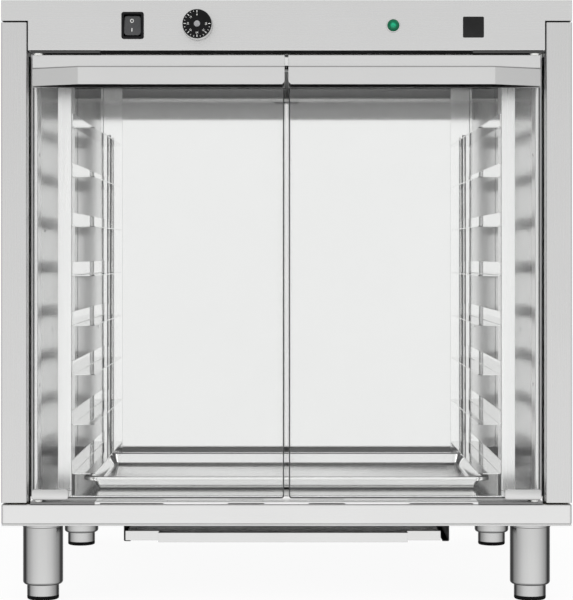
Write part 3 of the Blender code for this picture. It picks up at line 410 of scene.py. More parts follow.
# colour, second colour, roughness, gloss level, size of the texture, bump, edge width
dullLooks = {
    "blackPlastic": ((0.006, 0.006, 0.007), (0.011, 0.011, 0.012), 0.38, 0.12, 1400, 0.10, 0.0004),
    "knobBlack": ((0.005, 0.005, 0.005), (0.009, 0.009, 0.010), 0.42, 0.12, 1800, 0.08, 0.0003),
    "rockerGrey": ((0.040, 0.041, 0.043), (0.056, 0.057, 0.060), 0.24, 0.50, 900, 0.04, 0.0004),
    "printWhite": ((0.78, 0.78, 0.76), (0.86, 0.86, 0.84), 0.50, 0.40, 2500, 0.05, 0.0001),
    "nylonWhite": ((0.70, 0.70, 0.68), (0.80, 0.80, 0.78), 0.45, 0.40, 900, 0.06, 0.0003),
    "woolFibre": ((0.42, 0.36, 0.22), (0.62, 0.56, 0.40), 0.95, 0.10, 420, 0.90, 0.0005),
    "rubberBlack": ((0.004, 0.004, 0.004), (0.009, 0.009, 0.009), 0.70, 0.08, 700, 0.20, 0.0005),
    "enamelBlack": ((0.007, 0.007, 0.007), (0.011, 0.011, 0.011), 0.24, 0.25, 600, 0.03, 0.0003),
    "capGrey": ((0.22, 0.22, 0.23), (0.40, 0.40, 0.41), 0.34, 0.40, 900, 0.05, 0.0003),
    # the glass edge band is painted near black: painted shade
    "groundGlass": ((0.055, 0.056, 0.056), (0.095, 0.097, 0.096), 0.30, 0.20, 900, 0.05, 0.0003),
    "soffitGrey": ((0.400, 0.400, 0.400), (0.440, 0.440, 0.440), 0.60, 0.10, 500, 0.08, 0.0005),
}
# what all dull surfaces share: size of the clouds, strength and tone of the painted highlight on edges
# (second colour x gain + lift), spread of the roughness, depth of the specks
moulding = {"clouds": (60, 60, 60), "edgeLightStrength": 0.5, "gain": 1.5, "lift": 0.01, "spread": 0.15, "depth": 0.0003}


# moulded plastic, rubber, enamel or fibre: cloudy colour, a fine speckled relief, edges lightened as a
# painted highlight
def dullFinish(name, look):
    colour, other, roughness, gloss, size, relief, edge = look
    material, tree, shader = newMaterial(name)
    shader.inputs["Specular IOR Level"].default_value = gloss
    coords = tree.nodes.new("ShaderNodeTexCoord").outputs["Object"]
    speck = stretchedNoise(tree, coords, (size,) * 3, 2.0)
    cloud = stretchedNoise(tree, coords, moulding["clouds"], 3.0)
    body = blended(tree, scaled(tree, cloud, 0.0, 1.0), colour, other)
    mask, bevelled = edgeMask(tree, edge)
    paintedEdgeLight = tuple(min(value * moulding["gain"] + moulding["lift"], 1.0) for value in other)
    # painted highlight: edges lighter than the body
    body = blended(tree, mathNode(tree, "MULTIPLY", mask, moulding["edgeLightStrength"]), body, paintedEdgeLight)
    tree.links.new(body, shader.inputs["Base Color"])
    smoother, rougher = roughness * (1 - moulding["spread"]), roughness * (1 + moulding["spread"])
    tree.links.new(scaled(tree, cloud, smoother, rougher), shader.inputs["Roughness"])
    bump = newNode(tree, "ShaderNodeBump", Strength=relief, Distance=moulding["depth"])
    tree.links.new(speck, bump.inputs["Height"])
    tree.links.new(bevelled, bump.inputs["Normal"])
    tree.links.new(bump.outputs[0], shader.inputs["Normal"])
    return material


glassLook = {"colour": (0.996, 1.0, 0.998), "edgeColour": (0.42, 0.56, 0.52), "ior": 1.5,
             "shadowColour": (0.91, 0.92, 0.915, 1.0)}


# clear toughened glass: its cut edges look green, and it lets light through
def glassFinish(name, look):
    material, tree, shader = newMaterial(name)
    shader.inputs["Transmission Weight"].default_value = 1.0
    shader.inputs["IOR"].default_value = look["ior"]
    shader.inputs["Roughness"].default_value = 0.0
    normal = axesOf(tree, tree.nodes.new("ShaderNodeTexCoord").outputs["Normal"])
    facing = mathNode(tree, "ABSOLUTE", normal["Y"])
    tree.links.new(blended(tree, facing, look["edgeColour"], look["colour"]), shader.inputs["Base Color"])
    path = tree.nodes.new("ShaderNodeLightPath")
    clear = newNode(tree, "ShaderNodeBsdfTransparent", Color=look["shadowColour"])
    mix = tree.nodes.new("ShaderNodeMixShader")
    dullRay = mathNode(tree, "MAXIMUM", path.outputs["Is Shadow Ray"], path.outputs["Is Diffuse Ray"])
    tree.links.new(dullRay, mix.inputs[0])
    tree.links.new(shader.outputs[0], mix.inputs[1])
    tree.links.new(clear.outputs[0], mix.inputs[2])
    tree.links.new(mix.outputs[0], tree.nodes["Material Output"].inputs["Surface"])
    return material


lensLook = {"colour": (0.0, 0.135, 0.060), "centre": (0.010, 0.440, 0.220), "line": (0.0, 0.06, 0.03),
            "roughness": 0.10, "gloss": 0.20, "coat": 0.10, "facets": 300, "relief": 0.25, "depth": 0.0004,
            "lineShare": 0.5, "lineFade": 0.6, "centreInner": 0.00231, "centreOuter": 0.00462}


# green moulded lens: prisms behind it show as a fine pattern, and its middle is lighter
def lensFinish(name, look):
    material, tree, shader = newMaterial(name)
    shader.inputs["Roughness"].default_value = look["roughness"]
    shader.inputs["Specular IOR Level"].default_value = look["gloss"]
    shader.inputs["Coat Weight"].default_value = look["coat"]
    low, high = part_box("pilot_lamp")
    middle = (-(low.x + high.x) / 2, 0.0, -(low.z + high.z) / 2)
    coords = tree.nodes.new("ShaderNodeTexCoord").outputs["Object"]
    mapping = newNode(tree, "ShaderNodeMapping", Location=middle)
    tree.links.new(coords, mapping.inputs["Vector"])
    flat = vectorMath(tree, "MULTIPLY", mapping.outputs[0], (1.0, 0.0, 1.0))
    cells = newNode(tree, "ShaderNodeTexVoronoi", Scale=look["facets"])
    tree.links.new(flat, cells.inputs["Vector"])
    away = vectorMath(tree, "LENGTH", flat)
    near = scaled(tree, away, 1.0, 0.0, look["centreInner"], look["centreOuter"])
    body = blended(tree, near, look["colour"], look["centre"])
    lines = scaled(tree, cells.outputs["Distance"], look["lineShare"], 0.0, 0.0, look["lineFade"])
    tree.links.new(blended(tree, lines, body, look["line"]), shader.inputs["Base Color"])
    bump = newNode(tree, "ShaderNodeBump", Strength=look["relief"], Distance=look["depth"])
    tree.links.new(cells.outputs["Distance"], bump.inputs["Height"])
    tree.links.new(bump.outputs[0], shader.inputs["Normal"])
    return material


finishes = {name: steelFinish(name, look) for name, look in steelLooks.items()}
finishes.update({name: dullFinish(name, look) for name, look in dullLooks.items()})
finishes.update({name: roundFinish(name, *look) for name, look in roundLooks.items()})
finishes.update({name: railFinish(name, look) for name, look in railLooks.items()})
finishes["doorGlass"] = glassFinish("doorGlass", glassLook)
finishes["lensGreen"] = lensFinish("lensGreen", lensLook)
print("finishes mixed:", len(finishes))

# each finish goes to the nodes whose names start like this
nodeFinishes = {
    "fasciaSteel": ("control_fascia",),
    "postSteel": ("side_panel", "back_panel"),
    "apronSteel": ("base_tray",),
    "coverSteel": ("top_cover",),
    "doorRailSteel": ("door_rail",),
    "doorClampSteel": ("rail_clamp",),
    "bracketSteel": ("hinge_bracket",),
    "frameSteel": ("door_frame", "drain_sill"),
    "linerSteel": ("liner",),
    "soffitGrey": ("chamber_ceiling", "chamber_back"),
    "floorSteel": ("chamber_floor",),
    "wallSteel": ("duct_panel",),
    "rackSteel": ("rack_guides",),
    "uprightSteel": ("rack_front_upright",),
    "rearSteel": ("rack_rear_upright",),
    "catchSteel": ("catch_bracket",),
    "panSteel": ("water_pan",),
    "trayMetal": ("drip_tray",),
    "darkSidedLeg": ("leg_sleeve", "foot"),
    "lowerHingeShade": ("hinge_plate_bottom",),
    "upperHingeShade": ("hinge_plate_top",),
    "heaterSteel": ("heating_element",),
    "housingPaintedShade": ("tray_housing",),
    "blackPlastic": ("switch_bezel", "catch_magnet", "cable_gland"),
    "knobBlack": ("thermostat_knob",),
    "rockerGrey": ("switch_rocker", "thermostat_body"),
    "nylonWhite": ("rail_bush", "hinge_washer"),
    "woolFibre": ("insulation",),
    "doorGlass": ("door_glass",),
    "lensGreen": ("pilot_lamp",),
}


def dressNodes():
    dressed = set()
    for finish, starts in nodeFinishes.items():
        for name in [name for name in nodes if name.startswith(starts)]:
            for slot in nodes[name].material_slots:
                slot.link = "OBJECT"
                slot.material = finishes[finish]
            dressed.add(name)
    print("nodes without a finish:", sorted(set(nodes) - dressed))


dressNodes()


# quads of a grid of points, numbered row by row; a wrapped direction closes on itself
def gridFaces(rows, columns, wrapRows, wrapColumns):
    i = np.arange(rows if wrapRows else rows - 1)
    j = np.arange(columns if wrapColumns else columns - 1)
    gridI, gridJ = np.meshgrid(i, j, indexing="ij")
    nextI, nextJ = (gridI + 1) % rows, (gridJ + 1) % columns
    corners = [gridI * columns + gridJ, nextI * columns + gridJ,
               nextI * columns + nextJ, gridI * columns + nextJ]
    return np.stack(corners, axis=-1).reshape(-1, 4)


# makes a closed piece from an array of points; poles and seams are merged, faces point outwards
def addPiece(name, points, faces, finish, body, replaces=(), smoothDegrees=32):
    mesh = bpy.data.meshes.new(name)
    mesh.from_pydata(np.asarray(points).reshape(-1, 3).tolist(), [], [list(face) for face in faces])
    bm = bmesh.new()
    bm.from_mesh(mesh)
    bmesh.ops.remove_doubles(bm, verts=bm.verts, dist=1e-6)
    bmesh.ops.recalc_face_normals(bm, faces=bm.faces)
    if bm.calc_volume(signed=True) < 0:
        bmesh.ops.reverse_faces(bm, faces=bm.faces)
    openEdges = sum(1 for edge in bm.edges if len(edge.link_faces) != 2)
    if openEdges:
        print("open edges in", name, openEdges)
    bm.to_mesh(mesh)
    bm.free()
    mesh.materials.append(finishes[finish])
    piece = bpy.data.objects.new(name, mesh)
    scene.collection.objects.link(piece)
    mesh.shade_smooth()
    mesh.set_sharp_from_angle(angle=math.radians(smoothDegrees))
    if replaces:
        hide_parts(*replaces)
    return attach(piece, body)


# several closed pieces of the same kind put together as one
def joined(parts):
    points, faces, count = [], [], 0
    for partPoints, partFaces in parts:
        flat = np.asarray(partPoints).reshape(-1, 3)
        points.append(flat)
        faces += [[int(index) + count for index in face] for face in partFaces]
        count += len(flat)
    return np.concatenate(points), faces


# each (radius, distance) of the profile runs round the axis:
# centre + axis x distance + radius x (cosine x side + sine x other side)
def revolved(profile, centre, axis, sides=64, ring=False):
    axis = np.array(axis, float)
    side = np.array((1.0, 0.0, 0.0)) if abs(axis[0]) < 0.5 else np.array((0.0, 0.0, 1.0))
    other = np.cross(axis, side)
    angle = np.linspace(0, 2 * np.pi, sides, endpoint=False)
    turn = np.cos(angle)[:, None] * side + np.sin(angle)[:, None] * other
    profile = np.array(profile, float)
    points = (np.array(centre, float) + profile[None, :, 1, None] * axis
              + profile[None, :, 0, None] * turn[:, None, :])
    return points, gridFaces(sides, len(profile), True, ring)


# points of an arc in a profile, from one angle to another in degrees
def arc(centre, radius, start, end, steps=6):
    angle = np.radians(np.linspace(start, end, steps + 1))
    points = np.column_stack((centre[0] + radius * np.cos(angle), centre[1] + radius * np.sin(angle)))
    return points.tolist()


# both ends of a width round its centre
def around(centre, width):
    return centre - width / 2, centre + width / 2


# rectangle with quarter circles at its corners, as one loop of points
def roundedPath(aRange, bRange, radius, steps=8):
    quarter = np.linspace(0, np.pi / 2, steps + 1)
    centres = ((aRange[1] - radius, bRange[1] - radius), (aRange[0] + radius, bRange[1] - radius),
               (aRange[0] + radius, bRange[0] + radius), (aRange[1] - radius, bRange[0] + radius))
    loops = []
    for turn, (a, b) in enumerate(centres):
        angle = quarter + turn * np.pi / 2
        loops.append(np.column_stack((a + radius * np.cos(angle), b + radius * np.sin(angle))))
    return np.concatenate(loops)


# a profile of (inset, level) carried round a rounded rectangle, its first and last loops capped flat
# or, as a ring, joined to each other
def rimmed(aRange, bRange, radius, profile, plane="XZ", steps=8, leastRadius=0.0002, ring=False):
    loops = []
    for inset, level in profile:
        loop = roundedPath((aRange[0] + inset, aRange[1] - inset), (bRange[0] + inset, bRange[1] - inset),
                           max(radius - inset, leastRadius), steps)
        flat = np.full(len(loop), level)
        columns = (loop[:, 0], flat, loop[:, 1]) if plane == "XZ" else (loop[:, 0], loop[:, 1], flat)
        loops.append(np.column_stack(columns))
    points = np.array(loops)
    rows, columns = points.shape[:2]
    faces = gridFaces(rows, columns, ring, True).tolist()
    if ring:
        return points, faces
    faces.append(list(range(columns)))
    faces.append(list(range((rows - 1) * columns, rows * columns)))
    return points, faces


# a block with given corners, as points and faces
def block(low, high):
    x, y, z = zip(low, high)
    points = np.array([(x[i], y[j], z[k]) for i in (0, 1) for j in (0, 1) for k in (0, 1)])
    return points, [(0, 1, 3, 2), (4, 6, 7, 5), (0, 4, 5, 1), (2, 3, 7, 6), (0, 2, 6, 4), (1, 5, 7, 3)]


knobShape = {"axisX": -0.1219, "lineZ": 0.79525, "reach": 0.0240, "faceRadius": 0.01985,
             "baseRadius": 0.0209, "clear": 0.0010, "skirtEdge": 0.0006, "skirtLip": 0.0010, "joint": 0.0002,
             # groove of the skirt: how far in, at which height
             "groove": [(0.0001, 0.0040), (0.0008, 0.0048), (0.0009, 0.0056), (0.0003, 0.0064)],
             "edge": 0.0012, "backEdge": 0.0004, "faceDepth": 0.0032,
             "capRadius": 0.0042, "capGap": 0.0003, "capSink": 0.0004, "capTop": 0.0002, "capDish": 0.0001,
             "tickInner": 0.0150, "tickOuter": 0.0183, "minorInner": 0.0166, "majorHalf": 0.00042,
             "minorHalf": 0.00026, "tickCount": 19, "tickSpacing": 15.0,
             "numbers": ("0", "15", "30", "45", "60", "75", "90"), "numberSpacing": 45.0,
             "numberRadius": 0.0122, "numberSize": 0.0036, "printHeight": 0.00012, "printSink": 0.00005}


# black disc with a printed scale on a metal skirt, and a grey cap in the middle
def buildKnob():
    shape = knobShape
    centre = (shape["axisX"], frontY, shape["lineZ"])
    forward = (0, -1, 0)
    reach, edge, face, base = shape["reach"], shape["edge"], shape["faceRadius"], shape["baseRadius"]
    clear, joint, skirtEdge, backEdge = shape["clear"], shape["joint"], shape["skirtEdge"], shape["backEdge"]
    faceBack = reach - shape["faceDepth"]
    skirt = [(0, clear), (base - skirtEdge, clear), (base, clear + skirtEdge)]
    skirt += [(base - inset, level) for inset, level in shape["groove"]]
    skirt += [(face + joint, faceBack - shape["skirtLip"]), (face - skirtEdge, faceBack - joint),
              (0, faceBack - joint)]
    addPiece("knobSkirt", *revolved(skirt, centre, forward, 96), "knobSteel", "knob", ["thermostat_knob"])
    cap, gap, sink = shape["capRadius"], shape["capGap"], shape["capSink"]
    disc = [(0, faceBack), (face - backEdge, faceBack), (face, faceBack + backEdge)]
    disc += arc((face - edge, reach - edge), edge, 0, 90)
    disc += [(cap + gap, reach), (cap + gap, reach - sink), (0, reach - sink)]
    addPiece("knobFace", *revolved(disc, centre, forward, 96), "knobBlack", "knob")
    top, dish = reach + shape["capTop"], shape["capDish"]
    button = [(0, reach - gap), (cap, reach - gap), (cap, reach), (cap - sink, top),
              (cap * 0.5, top - dish), (0, top - dish)]
    addPiece("knobCap", *revolved(button, centre, forward, 48), "capGrey", "knob")
    buildDial(centre, reach)


# printed scale: seven long ticks 45 degrees apart, two short ones in each space, numbers inside
def buildDial(centre, reach):
    shape = knobShape
    count = shape["tickCount"]
    steps = np.arange(count)
    angle = np.radians(90 + steps * shape["tickSpacing"])
    major = steps % 3 == 0
    inner = np.where(major, shape["tickInner"], shape["minorInner"])
    outer = np.full(count, shape["tickOuter"])
    halfWide = np.where(major, shape["majorHalf"], shape["minorHalf"])
    outward = np.column_stack((np.cos(angle), np.sin(angle)))
    across = np.column_stack((-np.sin(angle), np.cos(angle)))
    flat = np.stack([outward * radius[:, None] + across * (side * halfWide)[:, None]
                     for radius, side in ((inner, -1), (inner, 1), (outer, 1), (outer, -1))], axis=1)
    front = frontY - reach - shape["printHeight"]
    points = np.zeros((count, 8, 3))
    points[:, :4, 0] = points[:, 4:, 0] = centre[0] + flat[:, :, 0]
    points[:, :4, 2] = points[:, 4:, 2] = centre[2] + flat[:, :, 1]
    points[:, :4, 1], points[:, 4:, 1] = front, frontY - reach + shape["printSink"]
    box = np.array([(0, 1, 2, 3), (7, 6, 5, 4), (0, 4, 5, 1), (1, 5, 6, 2), (2, 6, 7, 3), (3, 7, 4, 0)])
    faces = (box[None] + (np.arange(count) * 8)[:, None, None]).reshape(-1, 4)
    addPiece("dialTicks", points, faces, "printWhite", "knob")
    for index, label in enumerate(shape["numbers"]):
        addNumber("dialNumber" + label, label, math.radians(index * shape["numberSpacing"]), centre, front)


# flat raised number, upright when its own place is at the top of the dial
def addNumber(name, label, turn, centre, front):
    radius, halfHeight = knobShape["numberRadius"], knobShape["printHeight"] / 2
    curve = bpy.data.curves.new(name, "FONT")
    curve.body = label
    curve.size = knobShape["numberSize"]
    curve.align_x, curve.align_y = "CENTER", "CENTER"
    curve.extrude = halfHeight
    curve.resolution_u = 4
    holder = bpy.data.objects.new(name + "Curve", curve)
    scene.collection.objects.link(holder)
    bpy.context.view_layer.update()
    mesh = bpy.data.meshes.new_from_object(holder.evaluated_get(bpy.context.evaluated_depsgraph_get()))
    bpy.data.objects.remove(holder)
    flat = np.zeros(len(mesh.vertices) * 3)
    mesh.vertices.foreach_get("co", flat)
    flat = flat.reshape(-1, 3)
    faces = [list(polygon.vertices) for polygon in mesh.polygons]
    up = flat[:, 1] + radius
    points = np.column_stack((centre[0] + flat[:, 0] * math.cos(turn) - up * math.sin(turn),
                              front + halfHeight - flat[:, 2],
                              centre[2] + flat[:, 0] * math.sin(turn) + up * math.cos(turn)))
    bpy.data.meshes.remove(mesh)
    addPiece(name, points, faces, "printWhite", "knob")


bezelShape = {"width": 0.0308, "height": 0.0372, "corner": 0.0034, "thickness": 0.0025, "wall": 0.0036,
              # rounding of the outer and the inner rim: how far in or out, how far down
              "outerRim": [(0.0, 0.0010), (0.0003, 0.0004), (0.0010, 0.0)],
              "innerRim": [(0.0006, 0.0), (0.0001, 0.0004), (0.0, 0.0010)], "innerCorner": 0.0012,
              "seat": 0.0003, "wellDepth": 0.0120, "bodyInset": 0.0018, "bodyDepth": 0.0220}
rockerShape = {"axisX": -0.2113, "lineZ": 0.79525, "width": 0.0226, "height": 0.0268, "corner": 0.0042,
               "lower": 0.0008, "tilt": -7.0, "pivotBehind": 0.0035, "rise": 0.0062, "dish": 0.0022,
               "facet": 0.0030, "facetFall": 0.0013, "back": 0.0006, "steps": 40, "marksX": -0.0008,
               "ringZ": 0.0065, "ringRadius": 0.0021, "ringTube": 0.00045, "ringSides": 36, "tubeSides": 8,
               "barLow": -0.0087, "barHigh": -0.0033, "barWidth": 0.0010, "barCorner": 0.00045,
               "markRise": 0.00012}


# frame of the switch with rounded rims, the well for the rocker and the body behind it
def buildBezel():
    shape, centre = bezelShape, rockerShape
    thick, wall = shape["thickness"], shape["wall"]
    profile = [(shape["bodyInset"], shape["bodyDepth"]), (shape["bodyInset"], -shape["seat"]),
               (0.0, -shape["seat"])]
    profile += [(inset, drop - thick) for inset, drop in shape["outerRim"]]
    profile += [(wall - outset, drop - thick) for outset, drop in shape["innerRim"]]
    profile = [(inset, frontY + level) for inset, level in profile + [(wall, shape["wellDepth"])]]
    spans = around(centre["axisX"], shape["width"]), around(centre["lineZ"], shape["height"])
    addPiece("bezelFrame", *rimmed(*spans, shape["corner"], profile, leastRadius=shape["innerCorner"]),
             "blackPlastic", "cabinet", ["switch_bezel"])


# turns (x, depth, height) on the rocker about its pivot line and puts it in its place
def onRocker(points):
    shape = rockerShape
    flat = np.asarray(points).reshape(-1, 3)
    turn = math.radians(shape["tilt"])
    return np.column_stack((
        shape["axisX"] + flat[:, 0],
        frontY + shape["pivotBehind"] + flat[:, 1] * math.cos(turn) - flat[:, 2] * math.sin(turn),
        shape["lineZ"] - shape["lower"] + flat[:, 1] * math.sin(turn) + flat[:, 2] * math.cos(turn)))


# the front is a shallow pyramid pressed inwards: depth grows with nearness to the middle
def rockerFront(x, z):
    shape = rockerShape
    outward = np.maximum(np.abs(x) / (shape["width"] / 2), np.abs(z) / (shape["height"] / 2))
    return -shape["rise"] + shape["dish"] * (1 - outward)


# rocker cap with the sunk front, falling off towards the rim like a cut stone
def buildRocker():
    shape, steps = rockerShape, rockerShape["steps"]
    u = np.linspace(-1, 1, steps)
    gridX, gridZ = np.meshgrid(u, u, indexing="ij")
    halfX, halfZ, corner = shape["width"] / 2, shape["height"] / 2, shape["corner"]
    x, z = gridX * halfX, gridZ * halfZ
    cornerX = np.maximum(np.abs(x) - (halfX - corner), 0)
    cornerZ = np.maximum(np.abs(z) - (halfZ - corner), 0)
    outside = np.hypot(cornerX, cornerZ)
    pull = np.where(outside > corner, corner / np.maximum(outside, 1e-9), 1.0)
    x = np.sign(x) * (np.minimum(np.abs(x), halfX - corner) + cornerX * pull)
    z = np.sign(z) * (np.minimum(np.abs(z), halfZ - corner) + cornerZ * pull)
    rim = np.minimum((halfX - np.abs(x)) / shape["facet"], (halfZ - np.abs(z)) / shape["facet"])
    fall = shape["facetFall"] * (1 - np.clip(rim, 0, 1))
    front = np.stack((x, rockerFront(x, z) + fall, z), axis=-1)
    back = np.stack((x, np.full_like(x, shape["back"]), z), axis=-1)
    placed = onRocker(np.concatenate((front.reshape(-1, 3), back.reshape(-1, 3))))
    faces = gridFaces(steps, steps, False, False)
    count = steps * steps
    index = np.arange(count).reshape(steps, steps)
    border = np.concatenate((index[0, :-1], index[:-1, -1], index[-1, :0:-1], index[:0:-1, 0]))
    after = np.roll(border, -1)
    walls = np.stack((border, after, after + count, border + count), axis=-1)
    every = np.concatenate((faces, faces[:, ::-1] + count, walls))
    addPiece("rockerCap", placed, every, "rockerGrey", "rocker", ["switch_rocker"], 16)
    buildRockerMarks()


# the ring is a torus and the bar a rounded block, both sunk into the slopes of the rocker
def buildRockerMarks():
    shape, rise = rockerShape, rockerShape["markRise"]
    sides, tubeSides = shape["ringSides"], shape["tubeSides"]
    angle = np.linspace(0, 2 * np.pi, sides, endpoint=False)
    tube = np.linspace(0, 2 * np.pi, tubeSides, endpoint=False)
    radius = shape["ringRadius"] + shape["ringTube"] * np.cos(tube)[None, :]
    ringX = radius * np.cos(angle)[:, None] + shape["marksX"]
    ringZ = radius * np.sin(angle)[:, None] + shape["ringZ"]
    ring = np.stack((ringX, rockerFront(ringX, ringZ) + rise * np.sin(tube)[None, :], ringZ), axis=-1)
    addPiece("offRing", onRocker(ring), gridFaces(sides, tubeSides, True, True), "printWhite", "rocker")

    barX, barZ = roundedPath(around(shape["marksX"], shape["barWidth"]), (shape["barLow"], shape["barHigh"]),
                             shape["barCorner"], 4).T
    surface = rockerFront(barX, barZ)
    bar = np.stack([np.column_stack((barX, surface + lift, barZ)) for lift in (rise, -rise)])
    count = len(barX)
    ends = [list(range(count)), list(range(count, 2 * count))]
    addPiece("onBar", onRocker(bar), gridFaces(2, count, False, True).tolist() + ends, "printWhite", "rocker")


lampShape = {"axisX": 0.1466, "lineZ": 0.79525, "ringRadius": 0.00975, "ringHeight": 0.0022,
             "ringEdge": 0.0008, "gap": 0.0001, "seat": 0.0003, "lensRadius": 0.0080, "dome": 0.0048,
             "domeStart": 8, "domeSteps": 14, "bodyRadius": 0.0070, "bodyTop": 0.0002, "bodyDepth": 0.0250}


# chromed collar round a domed green lens
def buildLamp():
    shape = lampShape
    centre, forward = (shape["axisX"], frontY, shape["lineZ"]), (0, -1, 0)
    ring, lens, height = shape["ringRadius"], shape["lensRadius"], shape["ringHeight"]
    gap, seat, edge = shape["gap"], shape["seat"], shape["ringEdge"]
    collar = [(lens + gap, seat), (ring - gap, seat), (ring, seat * 2), (ring, height - edge)]
    collar += arc((ring - edge, height - edge), edge, 0, 90)
    collar += [(lens + gap + seat, height), (lens + gap, height - seat)]
    addPiece("lampCollar", *revolved(collar, centre, forward, 72, True), "collarSteel", "cabinet",
             ["pilot_lamp"])
    body, depth, bodyTop = shape["bodyRadius"], shape["bodyDepth"], shape["bodyTop"]
    dome = [(0, -depth), (body, -depth), (body, bodyTop), (lens, bodyTop), (lens, height - seat)]
    angle = np.radians(np.linspace(shape["domeStart"], 90, shape["domeSteps"]))
    rise = (shape["dome"] - height + seat) * np.sin(angle)
    dome += np.column_stack(((lens - gap) * np.cos(angle), height - seat + rise)).tolist()
    addPiece("lampLens", *revolved(dome, centre, forward, 72), "lensGreen", "cabinet")


plateShape = {"centreX": 0.2567, "lineZ": 0.7930, "width": 0.0288, "height": 0.0288, "corner": 0.0018,
              "thickness": 0.0010, "gap": 0.0001, "edge": 0.0003}


# a plain enamelled plate, with nothing on it
def buildPlainPlate():
    shape = plateShape
    front, gap, edge = frontY - shape["thickness"], shape["gap"], shape["edge"]
    profile = [(0, frontY - gap), (0, front + edge), (gap, front + gap), (gap + edge, front)]
    spans = around(shape["centreX"], shape["width"]), around(shape["lineZ"], shape["height"])
    addPiece("plainPlate", *rimmed(*spans, shape["corner"], profile), "enamelBlack", "cabinet")


buildKnob()
buildBezel()
buildRocker()
buildLamp()
buildPlainPlate()
print("controls built")

legShape = {"radius": 0.02785, "top": 0.1095, "studRadius": 0.0050, "studTop": 0.1155, "studEdge": 0.0004,
            "collarRadius": 0.0288, "collarBottom": 0.1014, "collarEdge": 0.0008, "undercut": 0.0002,
            "bottom": 0.0210, "shoulder": 0.0045, "bore": 0.02265, "boreTop": 0.0720, "boreEdge": 0.0003}
footShape = {"radius": 0.02225, "top": 0.0680, "topEdge": 0.0005, "lowEdge": 0.0003, "lowRise": 0.0004,
             "rubberTop": 0.0056, "rubberRound": 0.0024, "rubberSink": 0.0002, "rubberInset": 0.0006,
             "rubberGap": 0.0001}


# section of the sleeve: stud, narrow collar, long side, rounded lower shoulder, bore for the foot
def sleeveSection():
    shape = legShape
    stud, studTop, studEdge, top = shape["studRadius"], shape["studTop"], shape["studEdge"], shape["top"]
    collar, collarBottom, edge = shape["collarRadius"], shape["collarBottom"], shape["collarEdge"]
    radius, shoulder, bottom, bore = shape["radius"], shape["shoulder"], shape["bottom"], shape["bore"]
    section = [(0, studTop), (stud - studEdge, studTop), (stud, studTop - studEdge), (stud, top)]
    section += arc((collar - edge, top - edge), edge, 90, 0, 4)
    section += arc((collar - edge, collarBottom + edge), edge, 0, -70, 4)
    section += [(radius, collarBottom - shape["undercut"])]
    section += arc((radius - shoulder, bottom + shoulder), shoulder, 0, -90, 10)
    return section + [(bore + shape["undercut"], bottom), (bore, bottom + shape["boreEdge"]),
                      (bore, shape["boreTop"]), (0, shape["boreTop"])]


# sections of the polished post and of the rubber pad under it
def footSections():
    shape = footShape
    foot, top, rubber, turn = shape["radius"], shape["top"], shape["rubberTop"], shape["rubberRound"]
    edge, gap, sunk = shape["topEdge"], shape["rubberGap"], shape["rubberTop"] + shape["rubberSink"]
    post = [(0, top), (foot - edge, top), (foot, top - edge), (foot, rubber + shape["lowRise"]),
            (foot - shape["lowEdge"], rubber), (0, rubber)]
    pad = [(0, sunk), (foot - shape["rubberInset"], sunk), (foot - gap, rubber - gap)]
    pad += arc((foot - turn - gap, turn), turn, 0, -90, 8)
    return post, pad + [(0, 0)]


def buildLeg(corner, body):
    low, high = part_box("leg_sleeve_" + corner)
    centre, up = ((low.x + high.x) / 2, (low.y + high.y) / 2, 0.0), (0, 0, 1)
    post, pad = footSections()
    addPiece("sleeve_" + corner, *revolved(sleeveSection(), centre, up, 96), "darkSidedLeg", "cabinet",
             ["leg_sleeve_" + corner])
    addPiece("footPost_" + corner, *revolved(post, centre, up, 96), "darkSidedLeg", body, ["foot_" + corner])
    addPiece("footPad_" + corner, *revolved(pad, centre, up, 96), "rubberBlack", body)


for corner, body in (("front_left", "foot_fl"), ("front_right", "foot_fr"), ("rear_left", "foot_rl"),
                     ("rear_right", "foot_rr")):
    buildLeg(corner, body)
print("legs built")

panShape = {"corner": 0.0240, "leastCorner": 0.0010, "sheet": 0.0010, "rim": 0.0120, "rimDrop": 0.0060,
            "rimRound": 0.0024, "rimEdge": 0.0003, "fold": 0.0004, "draft": 0.0040, "bottomRound": 0.0070,
            "lipRound": 0.0030, "lipWiden": 0.0002}


# pressed pan: the section of its wall, from the outside bottom over the rolled rim to the inside bottom
def buildPan():
    low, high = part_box("water_pan")
    shape = panShape
    sheet, rim, turn, lip = shape["sheet"], shape["rim"], shape["rimRound"], shape["lipRound"]
    bend, wider, edge = shape["bottomRound"], shape["lipWiden"], shape["rimEdge"]
    bottom, top, foot = low.z, high.z, shape["rim"] + shape["draft"]
    rimFoot = top - shape["rimDrop"]
    profile = [(foot + bend + sheet, bottom)]
    profile += arc((foot + bend, bottom + bend), bend, 270, 190, 6)
    profile += arc((rim - lip, top - lip - sheet), lip, 0, 90, 5)
    profile += [(sheet + turn * 0.5, top - sheet), (sheet, top - sheet - shape["fold"]), (sheet, rimFoot),
                (edge, rimFoot), (0, rimFoot + edge)]
    profile += arc((turn, top - turn), turn, 180, 90, 5)
    profile += arc((rim - lip + wider, top - lip - wider), lip + wider, 90, 10, 6)
    profile += arc((foot + bend, bottom + bend), bend - sheet, 190, 270, 6)
    points, faces = rimmed((low.x, high.x), (low.y, high.y), shape["corner"], profile, "XY", 12,
                           shape["leastCorner"])
    addPiece("pressedPan", points, faces, "panSteel", "pan", ["water_pan"], 50)


buildPan()

glassShape = {"band": 0.0016, "bevel": 0.0006, "corner": 0.0040}
